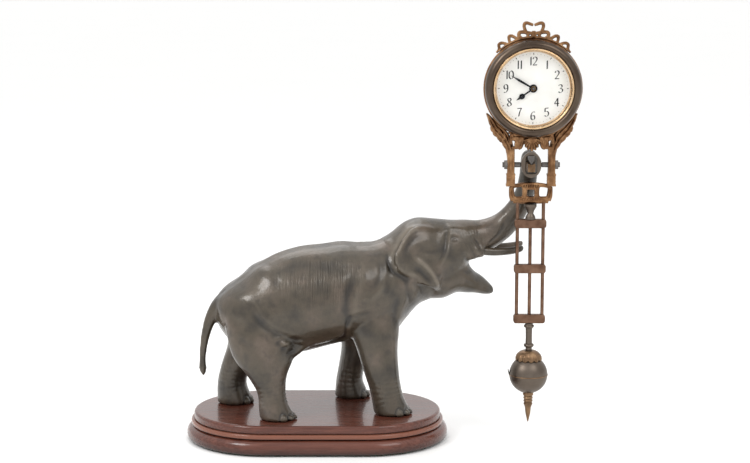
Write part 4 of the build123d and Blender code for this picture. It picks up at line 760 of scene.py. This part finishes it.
neck_folds = [
    ([(57, 97), (58, 88), (61, 79), (64, 72)], 0.6, 2.4, 0.3),
    ([(65, 92), (69, 85), (72, 78)], 0.45, 2.2, 0.2),
    ([(46, 113), (45.5, 106), (48, 99), (55, 94.5), (63, 91)], 0.9, 2.0, 0.5),
    ([(47, 118), (50, 123), (55.5, 127)], 0.5, 2.2, 0.2),
]
for side, fore, hind in ((-1, 0.0, 0.0), (1, -6.0, -9.0)):
    for folds, shift in ((shoulder_folds, fore), (hip_folds, hind), (flank_folds, 0.0), (neck_folds, 0.0)):
        for line, depth, width, lip in folds:
            figure.stroke(side, [(x + shift, z) for x, z in line], depth, width, lip)
figure.settle()
print("folds:", sum(map(len, (shoulder_folds, hip_folds, flank_folds, neck_folds))), "on each side")

# %% [markdown]
# The head needs the finest work: rims and hollows on the ears, lids and wrinkles round the eyes, the
# corner of the open mouth, and creases that sweep from the brow to the trunk. A bump map could draw
# these, but real grooves also catch the light on the outline.

# %% Ears and face
ear_lines = [
    ([(71, 127), (62, 124.5), (55, 117.5), (50.5, 110)], -0.7, 1.5, 0.0),
    ([(72, 122), (64, 119.5), (57.5, 113.5), (54, 107.5)], 0.5, 2.2, 0.0),
    ([(63, 107), (69.5, 103), (75, 97), (79, 90), (81.4, 84.5)], -1.0, 1.5, 0.0),
    ([(61, 102), (66.5, 98.5), (71.5, 93), (76, 87.5)], 0.8, 2.2, 0.0),
    ([(83, 112), (76, 110), (68, 111.5)], 0.3, 2.0, 0.15),
]
face_lines = [
    ([(88.5, 125), (86.8, 117), (85, 110), (80.5, 103)], 0.5, 1.3, 0.35),
    ([(90.4, 117.0), (91.8, 118.9), (94.2, 118.8), (96.2, 117.0)], 0.3, 0.7, 0.0),
    ([(90.8, 116.8), (93.0, 115.9), (95.6, 116.7)], 0.16, 0.7, 0.0),
    ([(87.5, 121.5), (92.5, 123.6), (99, 122.4)], 0.3, 1.3, 0.3),
    ([(100, 106), (103, 101.6), (107, 100.6), (112, 102)], 0.7, 1.4, 0.35),
    ([(98, 97), (103, 94.5), (109, 95)], 0.4, 1.6, 0.2),
    ([(104.5, 113), (107.5, 106), (113, 103.6)], 0.5, 1.3, 0.25),
    ([(117, 112.5), (120.2, 115.5), (125.3, 120.5), (130, 130)], 0.5, 1.0, 0.25),
    ([(107, 119), (111, 113), (112.5, 107)], 0.4, 1.0, 0.2),
]
for side in (-1, 1):
    for line, depth, width, lip in ear_lines + face_lines:
        figure.stroke(side, line, depth, width, lip)
    figure.swell(side, 93.1, 117.3, height=0.3, wide=1.2, tall=0.9)
    for k in range(11):
        brow = 97.0 + 2.1 * k
        crease = [(brow, 124), (brow + 2.4, 116.5 + 0.3 * k), (brow + 7.0, 108.5 + 0.7 * k)]
        figure.stroke(side, crease, depth=0.2, width=0.7, lip=0.1)
figure.settle()
print("head lines:", len(ear_lines) + len(face_lines), "on each side")

# %% [markdown]
# Skin that bends all day lies in rings, so the trunk and the legs above the feet get creases round them.
# The nails are plates on the front of each foot, raised with a groove round each, and two pits in the
# trunk's tip are its nostrils. Nails count only a quarter as ridges, or the patina would wear them too
# bright.

# %% Rings, nails and nostrils
figure.rings(trunk_line[2:], spacing=2.4, depth=0.12, start=0.04, end=0.9, reach=12.0)
for leg in (near_fore, far_fore, near_hind, far_hind):
    figure.rings(leg, spacing=3.0, depth=0.2, start=0.66, end=0.93, reach=15.0)
figure.settle()
nails = np.zeros(len(figure.at))
for leg, side in ((near_fore, -1), (near_hind, -1), (far_fore, 1), (far_hind, 1)):
    x, y, _, long, wide = leg[-1]
    for turn in (-78, -44, -12, 20, 52):
        spin = math.radians(turn * -side)
        nail = np.array((x + long * math.cos(spin), y + wide * math.sin(spin), 1.8))
        far = np.linalg.norm((figure.at - nail) * (1, 1, 0.7), axis=1)
        nails += 0.8 * np.exp(-((far / 2.6) ** 4)) - 0.7 * np.exp(-(((far - 3.5) / 0.8) ** 2))
figure.push += nails
for off in (-2.0, 2.0):
    nostril = np.array((trunk_tip.x, trunk_tip.y + off, trunk_tip.z + 8.8))
    far = np.linalg.norm(figure.at - nostril, axis=1)
    figure.push -= 1.1 * np.exp(-((far / 1.4) ** 2))
figure.settle()
figure.worked -= 0.75 * np.maximum(nails, 0)
print("deepest fold:", round(figure.worked.min(), 2), "mm")

# %% [markdown]
# The tools have kept count of how far each point was pushed. That count becomes the relief attribute, so
# the patina darkens in every fold and wears bright on each ridge. A second attribute marks where the fine
# upright skin lines of the flank run, and about a third of their strength lies on the trunk's root. A
# helper then moves the mesh, and not the object, to its place in metres, gives it its finish and its body,
# and hides the solids that it stands for.

# %% Relief for the patina
proud = np.clip(figure.worked / 0.8, -1, 1)
flat_x, flat_z = figure.at[:, 0], figure.at[:, 2]
marks = np.exp(-((flat_x / 26) ** 4) - (((flat_z - 92) / 15) ** 4)) * (np.abs(figure.out[:, 1]) > 0.3)
marks = np.maximum(marks, 0.3 * np.exp(-(((flat_x - 112) / 9) ** 4) - (((flat_z - 116) / 9) ** 4)))
for name, values in (("relief", proud), ("wrinkle", marks)):
    layer = elephant_mesh.attributes.new(name, "FLOAT", "POINT")
    layer.data.foreach_set("value", values.astype(np.float32))
elephant_mesh.shade_smooth()
print("relief from", round(proud.min(), 2), "to", round(proud.max(), 2))

# %% Placing a piece
dial_centre = (0.146, 0.0, 0.2415)
clock_place = Matrix.Translation(dial_centre) @ Matrix.Scale(0.001, 4)


def put(mesh, finish, slot, body, *stands_for, place=clock_place):
    """Object of a mesh made in millimetres, riding on a body and standing for solids."""
    mesh.transform(place)
    mesh.materials.append(finish.material)
    piece = bpy.data.objects.new(mesh.name, mesh)
    scene.collection.objects.link(piece)
    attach(piece, body)
    if stands_for:
        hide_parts(*stands_for)
    print(piece.name + ":", len(mesh.polygons), "faces")


put(elephant_mesh, patina, "patina", "stand", "elephant_body", "tail", place=beast_place)

# %% [markdown]
# The tusks are separate pegs of the same metal, pushed into their sleeves: blunt, nearly straight, and a
# little thinner at the end. Each is a short skin over round sections.

# %% Tusks
tusk_root = 106
tusk_sections = [
    (0.45, 9.9, 107.4, 2.75), (0.75, 10.2, 107.8, 2.55), (0.93, 10.4, 108.9, 2.25), (0.985, 10.4, 109.4, 1.6),
    (1.0, 10.4, 109.6, 0.5),
]
for side, name, reach in ((-1, "right_tusk", 37.0), (1, "left_tusk", 42.0)):
    tusk_line = [(tusk_root, 9.5, 108.5, 2.9), (112, 9.6, 108.4, 2.9)]
    tusk_line += [(tusk_root + share * reach, y, z, radius) for share, y, z, radius in tusk_sections]
    peg = bmesh.new()
    skin(peg, [(x, y * side, z, r, r) for x, y, z, r in tusk_line], along_y, along_z, corners=24, steps=5)
    face_out(peg)
    put(as_mesh(peg, name + "_peg"), patina, "patina", "stand", name, place=beast_place)

# %% [markdown]
# ## The clock
# Everything on the clock is placed from the middle of the dial, in millimetres: x to the right, y away
# from the viewer, z up. Its numerals were drawn with a broad pen. A font could stand in, but few have
# these round shapes, so the pen itself is copied: its nib is one short edge, and extruding that edge
# along a path draws the stroke, thick going down and thin going across. Straight level strokes take a
# second, upright nib, or they would be hair thin.

# %% Pen strokes of the numerals
ring = [
    (0.30, 1.0), (0.10, 0.82), (0.05, 0.50), (0.10, 0.18), (0.30, 0.0), (0.50, 0.18), (0.55, 0.50),
    (0.50, 0.82), (0.30, 1.0),
]
six = [
    (0.50, 0.92), (0.36, 1.0), (0.17, 0.82), (0.07, 0.48), (0.12, 0.14), (0.30, 0.0), (0.48, 0.12),
    (0.52, 0.32), (0.43, 0.54), (0.27, 0.56), (0.11, 0.40),
]
nine = [(0.60 - x, 1.0 - z) for x, z in six]
numeral_strokes = {
    "0": [ring],
    "1": [[(0.17, 0.0), (0.17, 1.0)]],
    "2": [[(0.08, 0.74), (0.14, 0.94), (0.32, 1.0), (0.50, 0.88), (0.52, 0.70), (0.38, 0.42), (0.06, 0.03)],
          [(0.06, 0.03), (0.56, 0.06)]],
    "3": [[(0.08, 0.84), (0.24, 1.0), (0.44, 0.90), (0.47, 0.70), (0.26, 0.54)],
          [(0.26, 0.54), (0.50, 0.42), (0.53, 0.20), (0.32, 0.0), (0.06, 0.12)]],
    "4": [[(0.42, 0.0), (0.42, 1.0)], [(0.42, 1.0), (0.04, 0.32)], [(0.04, 0.32), (0.60, 0.35)]],
    "5": [[(0.12, 0.96), (0.52, 1.0)], [(0.12, 0.96), (0.12, 0.52)],
          [(0.12, 0.52), (0.32, 0.62), (0.51, 0.48), (0.52, 0.22), (0.34, 0.0), (0.07, 0.10)]],
    "6": [six],
    "7": [[(0.06, 0.94), (0.56, 0.98)], [(0.56, 0.98), (0.36, 0.54), (0.24, 0.0)]],
    "8": [[(0.50, 0.86), (0.30, 1.0), (0.11, 0.84), (0.20, 0.62), (0.44, 0.42), (0.52, 0.18), (0.30, 0.0),
           (0.08, 0.16), (0.16, 0.40), (0.42, 0.62), (0.50, 0.86)]],
    "9": [nine],
}
numeral_height = 5.6
numeral_ring = 18.3
nib = Vector((0.85, 0, 0.3))
level_nib = Vector((0.12, 0, 0.6))
ink_layer = 0.05
dial_front = -9.0


def draw(ink, path):
    """One pen stroke: the nib's edge is extruded from point to point."""
    run = path[-1] - path[0]
    pen = level_nib if len(path) == 2 and abs(run.x) > abs(run.z) else nib
    ends = [ink.verts.new(path[0] - pen / 2), ink.verts.new(path[0] + pen / 2)]
    edge = ink.edges.new(ends)
    for here, there in zip(path, path[1:]):
        made = bmesh.ops.extrude_edge_only(ink, edges=[edge])["geom"]
        bmesh.ops.translate(ink, vec=there - here, verts=verts_of(made))
        edge = next(e for e in made if isinstance(e, bmesh.types.BMEdge))


# %% The twelve numerals
narrow_digit = 0.36
wide_digit = 0.62
ink = bmesh.new()
for hour in range(1, 13):
    turn = math.radians(90 - 30 * hour)
    widths = [narrow_digit if digit == "1" else wide_digit for digit in str(hour)]
    left = numeral_ring * math.cos(turn) - sum(widths) * numeral_height / 2
    foot = numeral_ring * math.sin(turn) - numeral_height / 2
    for digit, width in zip(str(hour), widths):
        for points in numeral_strokes[digit]:
            fine_points = smooth_run(points, 5) if len(points) > 2 else points
            sized = [(left + x * numeral_height, foot + z * numeral_height) for x, z in fine_points]
            draw(ink, [Vector((x, dial_front, z)) for x, z in sized])
        left += width * numeral_height
print("numerals:", len(ink.faces), "faces")

# %% [markdown]
# The minute track is a ring of dots with a longer lozenge at each hour. Both start as flat circles, of
# eight and of four corners, and are turned to their places. The whole print is then drawn out a little
# towards the viewer, so that the ink is a real layer on the enamel.

# %% Minute track
track_ring = 23.1
for minute in range(60):
    turn = math.radians(6 * minute)
    spot = Matrix.Translation((0, dial_front, 0)) @ Matrix.Rotation(turn, 4, "Y")
    spot = spot @ Matrix.Translation((0, 0, track_ring)) @ Matrix.Rotation(math.radians(90), 4, "X")
    hour_mark = minute % 5 == 0
    corners, radius = (4, 0.42) if hour_mark else (8, 0.17)
    mark = bmesh.ops.create_circle(ink, cap_ends=True, segments=corners, radius=radius)["verts"]
    if hour_mark:
        bmesh.ops.scale(ink, vec=(0.8, 2.1, 1), verts=mark)
    bmesh.ops.transform(ink, matrix=spot, verts=mark)
layer = bmesh.ops.extrude_face_region(ink, geom=ink.faces[:], use_keep_orig=True)["geom"]
bmesh.ops.translate(ink, vec=(0, -ink_layer, 0), verts=verts_of(layer))
face_out(ink)
put(as_mesh(ink, "dial_print", smooth=False), black_ink, "black_steel", "pendulum")

# %% [markdown]
# The bezel and its gilt bead are turned on a lathe, and spin does what a lathe does: one profile goes
# round the clock's axis. A profile is a short list of radius and depth, drawn out into a smooth line.

# %% Turned rings
def spin_once(shape, line, axis, steps, weld):
    """Full turn of a line about an axis, with its seam closed and its faces outwards."""
    bmesh.ops.spin(shape, geom=line, cent=(0, 0, 0), axis=axis, angle=math.tau, steps=steps, use_merge=True)
    bmesh.ops.remove_doubles(shape, verts=shape.verts[:], dist=weld)
    face_out(shape)


def turned(name, outline, steps, smooth=5):
    """Ring spun from a closed profile of radius and depth about the clock's axis."""
    shape = bmesh.new()
    profile = smooth_run(list(outline) + [outline[0]], smooth)[:-1]
    corners = [shape.verts.new((radius, depth, 0)) for radius, depth in profile]
    rim = [shape.edges.new((a, b)) for a, b in zip(corners, corners[1:] + corners[:1])]
    spin_once(shape, corners + rim, along_y, steps, 1e-4)
    return as_mesh(shape, name)


bezel_outline = [
    (32.5, -9.02), (32.5, -11.4), (32.0, -13.6), (30.9, -15.2), (29.4, -15.95), (28.1, -15.6),
    (27.2, -14.6), (26.9, -13.4), (26.7, -11.6), (26.7, -9.3), (28.0, -9.02), (30.4, -9.02),
]
bead_outline = [
    (27.2, -14.2), (26.9, -15.0), (26.2, -15.1), (25.7, -14.4), (25.6, -13.4), (25.75, -12.7),
    (26.6, -12.7),
]
put(turned("bezel_ring", bezel_outline, 160), bezel_bronze, "bronze", "pendulum", "bezel")
put(turned("bezel_bead", bead_outline, 160), bright_gilt, "gilt", "pendulum")


# %% [markdown]
# ## The gilt castings
# Bow, brackets, apron and bridge are small castings with leaves and ribbons. They are modelled like the
# elephant: tapering strands are skinned along their lines, a remesh melts them into one metal, and the
# modelling tool then cuts veins and folds into the front.

# %% Strands and arcs
def strand(clay, path, widths, depth, thick, mirrored=True):
    """Tapering strand along a front-view path.

    Widths are its half widths, depth is its middle and thick its half thickness.
    """
    shares = np.linspace(0, 1, len(path))
    halves = np.interp(shares, np.linspace(0, 1, len(widths)), widths)
    for side in ((-1, 1) if mirrored else (1,)):
        stations = [(side * x, depth, z, thick, half) for (x, z), half in zip(path, halves)]
        skin(clay, stations, along_y, corners=14)


def arc(radius, start, end, count=7):
    """Front-view points along the rim, from one angle to another."""
    turns = np.radians(np.linspace(start, end, count))
    return [(radius * math.cos(t), radius * math.sin(t)) for t in turns]


# %% [markdown]
# A ribbon tied in a bow crowns the rim, and its tails follow the rim down on both sides. The tools take
# points left and right of zero as two sides, so the bow is moved to zero depth while its folds are cut,
# and then back.

# %% Bow on the rim
bow_depth = -6.9
bow_loop = [
    (0.4, 42.2), (2.2, 42.8), (4.2, 43.5), (5.9, 43.3), (6.5, 41.7), (6.0, 39.6), (5.0, 37.6),
    (4.3, 36.2),
]
low_loop = [(0.6, 36.6), (3.4, 37.0), (6.6, 37.5), (9.2, 37.3), (10.0, 35.8), (9.2, 34.2), (8.0, 33.6)]
tail_one = [(10.2, 33.4), (12.0, 33.6), (14.4, 34.9), (16.4, 34.6), (16.4, 32.4), (16.0, 30.4), (17.4, 29.2)]
tail_two = [(17.4, 29.4), (19.4, 30.0), (21.8, 30.2), (23.2, 29.0), (23.0, 27.0), (23.4, 25.4), (24.8, 23.8)]
bow = bmesh.new()
strand(bow, bow_loop, [0.9, 1.15, 1.2, 1.15, 1.1, 1.0], bow_depth, 1.25)
strand(bow, low_loop, [1.1, 1.25, 1.3, 1.2, 1.1], bow_depth - 0.1, 1.3)
strand(bow, tail_one, [1.0, 1.1, 1.15, 1.0, 0.9], bow_depth, 1.15)
strand(bow, tail_two, [0.9, 1.1, 1.1, 1.0, 0.7], bow_depth, 1.1)
strand(bow, arc(34.0, 90, 47), [1.1, 1.0, 0.75, 0.6], bow_depth, 1.2)
strand(bow, [(0, 38.4), (0, 36.6), (0, 34.4)], [1.0, 2.1, 1.5], bow_depth - 0.3, 1.5, False)
strand(bow, [(3.2, 36.4), (3.9, 35.0), (4.4, 33.6)], [0.7, 1.1, 0.6], bow_depth, 1.2)
bow_mesh = melt(bow, "ribbon_bow", grain=0.24, rounds=4)
ribbon = Clay(bow_mesh)
ribbon.at[:, 1] -= bow_depth
ribbon.turn()
for side in (-1, 1):
    for path in (bow_loop, low_loop, tail_one, tail_two):
        line = [(side * x, z) for x, z in path]
        ribbon.stroke(-1, line, 0.42, 0.5)
        ribbon.stroke(1, line, 0.25, 0.5)
    ribbon.stroke(-1, [(0.7 * side, 38.0), (0.95 * side, 36.4), (0.6 * side, 34.4)], 0.4, 0.3)
ribbon.settle()
ribbon.at[:, 1] += bow_depth
ribbon.turn()
bow_mesh.shade_smooth()
put(bow_mesh, gilt, "gilt", "pendulum", "crest")

# %% [markdown]
# The yoke holds the drum between two acanthus brackets, which run down into square posts with plain feet.
# The brackets swell in the middle like a folded leaf, so they are one strand each, and the veins are cut
# after.

# %% Yoke
bracket = [
    (30.6, -17.4), (28.4, -20.6), (26.2, -24.4), (23.8, -28.4), (20.2, -31.8), (17.0, -36.1),
    (14.8, -41.6), (14.0, -47.6), (13.8, -58.0),
]
bracket_halves = [0.5, 1.6, 2.7, 3.9, 4.3, 3.9, 3.0, 2.5, 2.4]
post_middle = 13.8
post_blocks = [
    (4.9, -59.6, -40.0, 4.8), (5.8, -66.6, -58.4, 5.0), (6.4, -67.0, -65.6, 5.2),
    (6.2, -59.4, -58.4, 5.1),
]
yoke = bmesh.new()
strand(yoke, bracket, bracket_halves, 0.0, 2.5)
strand(yoke, arc(31.7, 200, 270, 9), [0.8, 1.0, 1.1, 1.1], 0.0, 2.2)
for side in (-1, 1):
    for width, low, high, thick in post_blocks:
        block = bmesh.ops.create_cube(yoke, size=1.0)["verts"]
        bmesh.ops.scale(yoke, vec=(width, thick, high - low), verts=block)
        bmesh.ops.translate(yoke, vec=(side * post_middle, 0, (low + high) / 2), verts=block)
yoke_mesh = melt(yoke, "acanthus_yoke", grain=0.3, rounds=4)
print("yoke blocked out:", len(yoke_mesh.polygons), "faces")

# %% [markdown]
# Veins run along each bracket and short ones branch to its lobes. Lines along the posts and feet stand
# for their panels. Both faces of the yoke are cut alike, and a few soft pits then notch the leaf's edge.

# %% Veins of the yoke
leaf = Clay(yoke_mesh)
vein_lines = [
    ([(30.0, -18.4), (27.2, -23.4), (24.0, -28.2), (20.0, -32.6), (16.8, -37.4), (14.8, -43.0)],
     0.8, 0.55, 0.35),
    ([(28.8, -23.6), (26.0, -29.6), (22.4, -34.0), (18.8, -38.6)], 0.6, 0.5, 0.3),
    ([(25.4, -22.8), (21.8, -26.8), (18.0, -30.4), (15.0, -35.4)], 0.6, 0.5, 0.3),
    ([(27.4, -28.4), (25.8, -27.8), (24.4, -28.4)], 0.45, 0.6, 0.25),
    ([(25.2, -32.4), (23.0, -31.0), (21.2, -31.6)], 0.45, 0.6, 0.25),
    ([(21.4, -36.8), (19.4, -35.2), (17.8, -36.0)], 0.45, 0.6, 0.25),
    ([(22.6, -25.4), (22.8, -27.4), (22.0, -29.8)], 0.45, 0.6, 0.25),
    ([(18.8, -28.4), (19.2, -30.6), (18.4, -33.4)], 0.45, 0.6, 0.25),
    ([(15.4, -33.4), (15.9, -35.4), (15.4, -38.4)], 0.6, 0.6, 0.3),
    ([(15.2, -46.0), (15.0, -52.0), (14.9, -57.8)], 0.45, 0.4, 0.25),
    ([(12.6, -44.0), (12.7, -51.0), (12.7, -57.8)], 0.45, 0.4, 0.25),
    ([(11.2, -60.4), (13.8, -60.6), (16.6, -60.4)], 0.35, 0.35, 0.2),
    ([(11.2, -64.4), (13.8, -64.2), (16.6, -64.4)], 0.35, 0.35, 0.2),
]
leaf_notches = [(28.6, -26.2), (27.0, -30.6), (24.2, -34.2), (20.6, -38.0), (18.4, -42.2), (15.0, -33.0)]
for facing in (-1, 1):
    for side in (-1, 1):
        for line, depth, width, lip in vein_lines:
            leaf.stroke(facing, [(side * x, z) for x, z in line], depth, width, lip)
leaf.settle()
for side in (-1, 1):
    for x, z in leaf_notches:
        far = np.hypot(leaf.at[:, 0] - side * x, leaf.at[:, 2] - z)
        leaf.push -= 0.5 * np.exp(-((far / 0.9) ** 2))
leaf.settle()
yoke_mesh.shade_smooth()
put(yoke_mesh, gilt, "gilt", "pendulum", "yoke")

# %% [markdown]
# The apron hangs between the brackets: a shell of nine ribs in the middle, and on each side a leaf whose
# lobes reach down to the post, with gaps that let the light through.

# %% Apron
apron_depth = -2.9
shell_root = -33.2
leaf_strands = [
    ([(4.6, -33.4), (8.0, -34.2), (11.4, -34.0), (13.6, -32.6)], [1.6, 2.6, 2.2, 1.6], 0.4, 1.2),
    ([(6.4, -33.0), (7.2, -36.6), (8.0, -39.8), (9.0, -41.4)], [1.4, 2.1, 1.9, 0.8], 0.0, 1.5),
    ([(9.6, -33.0), (10.0, -36.0), (10.2, -39.0), (9.6, -41.0)], [1.5, 1.5, 1.6, 0.9], 0.0, 1.4),
    ([(13.4, -31.0), (14.2, -34.6), (14.2, -38.0)], [1.4, 1.2, 1.2], 0.6, 1.6),
    ([(9.0, -40.4), (11.0, -40.6), (13.4, -40.2)], [1.1, 1.0, 1.2], 0.5, 1.4),
]
leaf_grooves = [
    [(6.4, -33.6), (7.2, -37.0), (8.2, -40.4)],
    [(9.6, -33.4), (10.1, -36.4), (9.8, -40.0)],
    [(13.2, -32.0), (13.9, -35.6), (14.0, -38.6)],
]
apron = bmesh.new()
for turn, reach in ((0, 9.6), (16, 9.2), (32, 8.2), (48, 7.0), (64, 6.0)):
    lean = math.radians(turn)
    steps = (0.0, 0.45 * reach, 0.8 * reach, reach)
    rib = [(math.sin(lean) * far, shell_root - math.cos(lean) * far) for far in steps]
    strand(apron, rib, [0.7, 1.2, 1.4, 0.55], apron_depth - 0.3, 1.5, turn > 0)
strand(apron, arc(33.0, 270, 298, 6), [2.0, 2.0, 1.9, 1.6], apron_depth + 0.7, 1.4)
for path, halves, sunk, thick in leaf_strands:
    strand(apron, path, halves, apron_depth + sunk, thick)
strand(apron, [(0.0, -33.0), (0.0, -34.6), (0.0, -36.4)], [1.6, 2.0, 0.7], apron_depth - 1.2, 1.2, False)
apron_mesh = melt(apron, "shell_apron", grain=0.24, rounds=3)
shell = Clay(apron_mesh)
for side in (-1, 1):
    for turn in (8, 24, 40, 56):
        lean = math.radians(turn)
        groove = [(side * math.sin(lean) * far, shell_root - math.cos(lean) * far) for far in (3.4, 6.0, 8.4)]
        shell.stroke(-1, groove, 0.5, 0.35)
    for line in leaf_grooves:
        shell.stroke(-1, [(side * x, z) for x, z in line], 0.5, 0.4, 0.2)
shell.settle()
apron_mesh.shade_smooth()
put(apron_mesh, gilt, "gilt", "pendulum", "apron")

# %% [markdown]
# The bridge ties the post feet together above the rods. It is openwork: an arched top bar, a level foot,
# two bowed ends and uprights leave three openings, and short flutes decorate the middle.

# %% Bridge
bridge = bmesh.new()
strand(bridge, [(0.0, -65.8), (5.0, -66.0), (10.4, -66.7), (13.6, -67.8)], [1.6, 1.55, 1.4, 1.1], 0.0, 1.9)
strand(bridge, [(0.0, -76.5), (6.0, -76.5), (12.0, -76.3)], [2.7, 2.6, 2.5], 0.0, 1.9)
strand(bridge, [(13.2, -67.4), (13.1, -70.6), (12.7, -74.0), (11.6, -76.6)], [1.7, 1.9, 2.1, 2.3], 0.0, 1.9)
strand(bridge, [(4.2, -66.0), (4.1, -70.0), (4.2, -74.0), (4.8, -77.0)], [2.3, 1.8, 1.9, 2.6], 0.0, 1.7)
strand(bridge, [(0.0, -65.8), (0.0, -67.6), (0.0, -69.4)], [3.6, 3.4, 2.8], 0.0, 1.6, False)
strand(bridge, [(0.0, -74.2), (0.0, -75.4), (0.0, -77.0)], [2.6, 3.4, 3.8], 0.0, 1.6, False)
bridge_mesh = melt(bridge, "openwork_bridge", grain=0.26, rounds=9)
fret = Clay(bridge_mesh)
for facing in (-1, 1):
    for x in (-4.8, -3.2, -1.6, 0.0, 1.6, 3.2, 4.8):
        fret.stroke(facing, [(x * 0.9, -65.4), (x, -67.0), (x * 1.02, -68.8)], 0.8, 0.38)
        fret.stroke(facing, [(x * 1.02, -74.2), (x * 1.1, -75.8), (x * 1.2, -77.0)], 0.5, 0.4)
    for side in (-1, 1):
        fret.stroke(facing, [(side * 13.3, -68.6), (side * 13.0, -72.0), (side * 11.9, -76.0)], 0.7, 0.45)
        fret.stroke(facing, [(side * 6.6, -66.4), (side * 10.0, -67.0), (side * 13.0, -68.0)], 0.6, 0.4)
        fret.stroke(facing, [(side * 6.8, -77.4), (side * 9.4, -77.2), (side * 11.8, -77.4)], 0.6, 0.45)
    fret.stroke(facing, [(-12.0, -78.4), (0.0, -78.5), (12.0, -78.4)], 0.3, 0.3)
fret.settle()
bridge_mesh.shade_smooth()
put(bridge_mesh, gilt, "gilt", "pendulum", "bridge_mount")

# %% [markdown]
# ## The bob
# The bob is a ball of two halves, which stay as they are. They meet at a rolled seam, which is turned
# like the bezel and stood upright, and a small bevelled catch holds them together at the left.

# %% Seam and catch
bob_height = 43.6
dial_height = 241.5
bob_middle = bob_height - dial_height
ball = 13.2
seam_outline = [
    (ball + 0.22, -0.26), (ball + 0.30, 0.0), (ball + 0.22, 0.26), (ball - 0.2, 0.3),
    (ball - 0.2, -0.3),
]
seam = turned("bob_seam", seam_outline, 128, 3)
stand_up = Matrix.Translation((0, 0, bob_middle)) @ Matrix.Rotation(math.radians(90), 4, "X")
seam.transform(stand_up)
put(seam, antique, "gilt", "bob")

catch = bmesh.new()
tab = bmesh.ops.create_cube(catch, size=1.0)["verts"]
bmesh.ops.scale(catch, vec=(0.7, 2.2, 4.2), verts=tab)
bmesh.ops.bevel(catch, geom=catch.edges[:], offset=0.3, segments=3, profile=0.5, affect="EDGES", material=-1)
bmesh.ops.rotate(catch, matrix=Matrix.Rotation(math.radians(-14), 3, "Y"), verts=catch.verts[:])
bmesh.ops.translate(catch, vec=(-ball - 0.4, 0, bob_middle + 1.4), verts=catch.verts[:])
put(as_mesh(catch, "bob_catch"), shell_bronze, "bronze", "bob")

# %% [markdown]
# The cap of the bob is a calyx of pointed leaves that hugs the ball. Single leaves would leave gaps at
# the top, so a shell is spun over the ball and its points are moved: pleats lift the leaves, and their
# tips reach lower.

# %% Leaf cap
leaves = 13
dome = [(2.6, 16.9), (4.4, 16.8), (6.6, 15.7), (8.2, 13.8), (8.95, 11.8), (9.0, 9.9)]
calyx = bmesh.new()
dome_line = smooth_run(dome, 5)
start = [calyx.verts.new((radius, 0, height)) for radius, height in dome_line]
line = [calyx.edges.new(pair) for pair in zip(start, start[1:])]
spin_once(calyx, start + line, along_z, leaves * 16, 1e-5)
for vert in calyx.verts:
    share = (dome[0][1] - vert.co.z) / (dome[0][1] - dome[-1][1])
    around = math.atan2(vert.co.y, vert.co.x)
    tip = abs(math.cos(leaves * around / 2))
    fold = 0.75 * tip - 0.55 + 0.16 * math.cos(3 * leaves * around)
    spread_out = 1 + 0.065 * fold * min(1.0, 2.5 * share)
    vert.co.x *= spread_out
    vert.co.y *= spread_out
    vert.co.z += 1.3 * (1 - tip) * share**3
face_out(calyx)
bmesh.ops.solidify(calyx, geom=calyx.faces[:], thickness=0.6)
face_out(calyx)
bmesh.ops.translate(calyx, vec=(0, 0, bob_middle), verts=calyx.verts[:])
put(as_mesh(calyx, "leaf_cap"), antique, "gilt", "bob", "bob_cap")
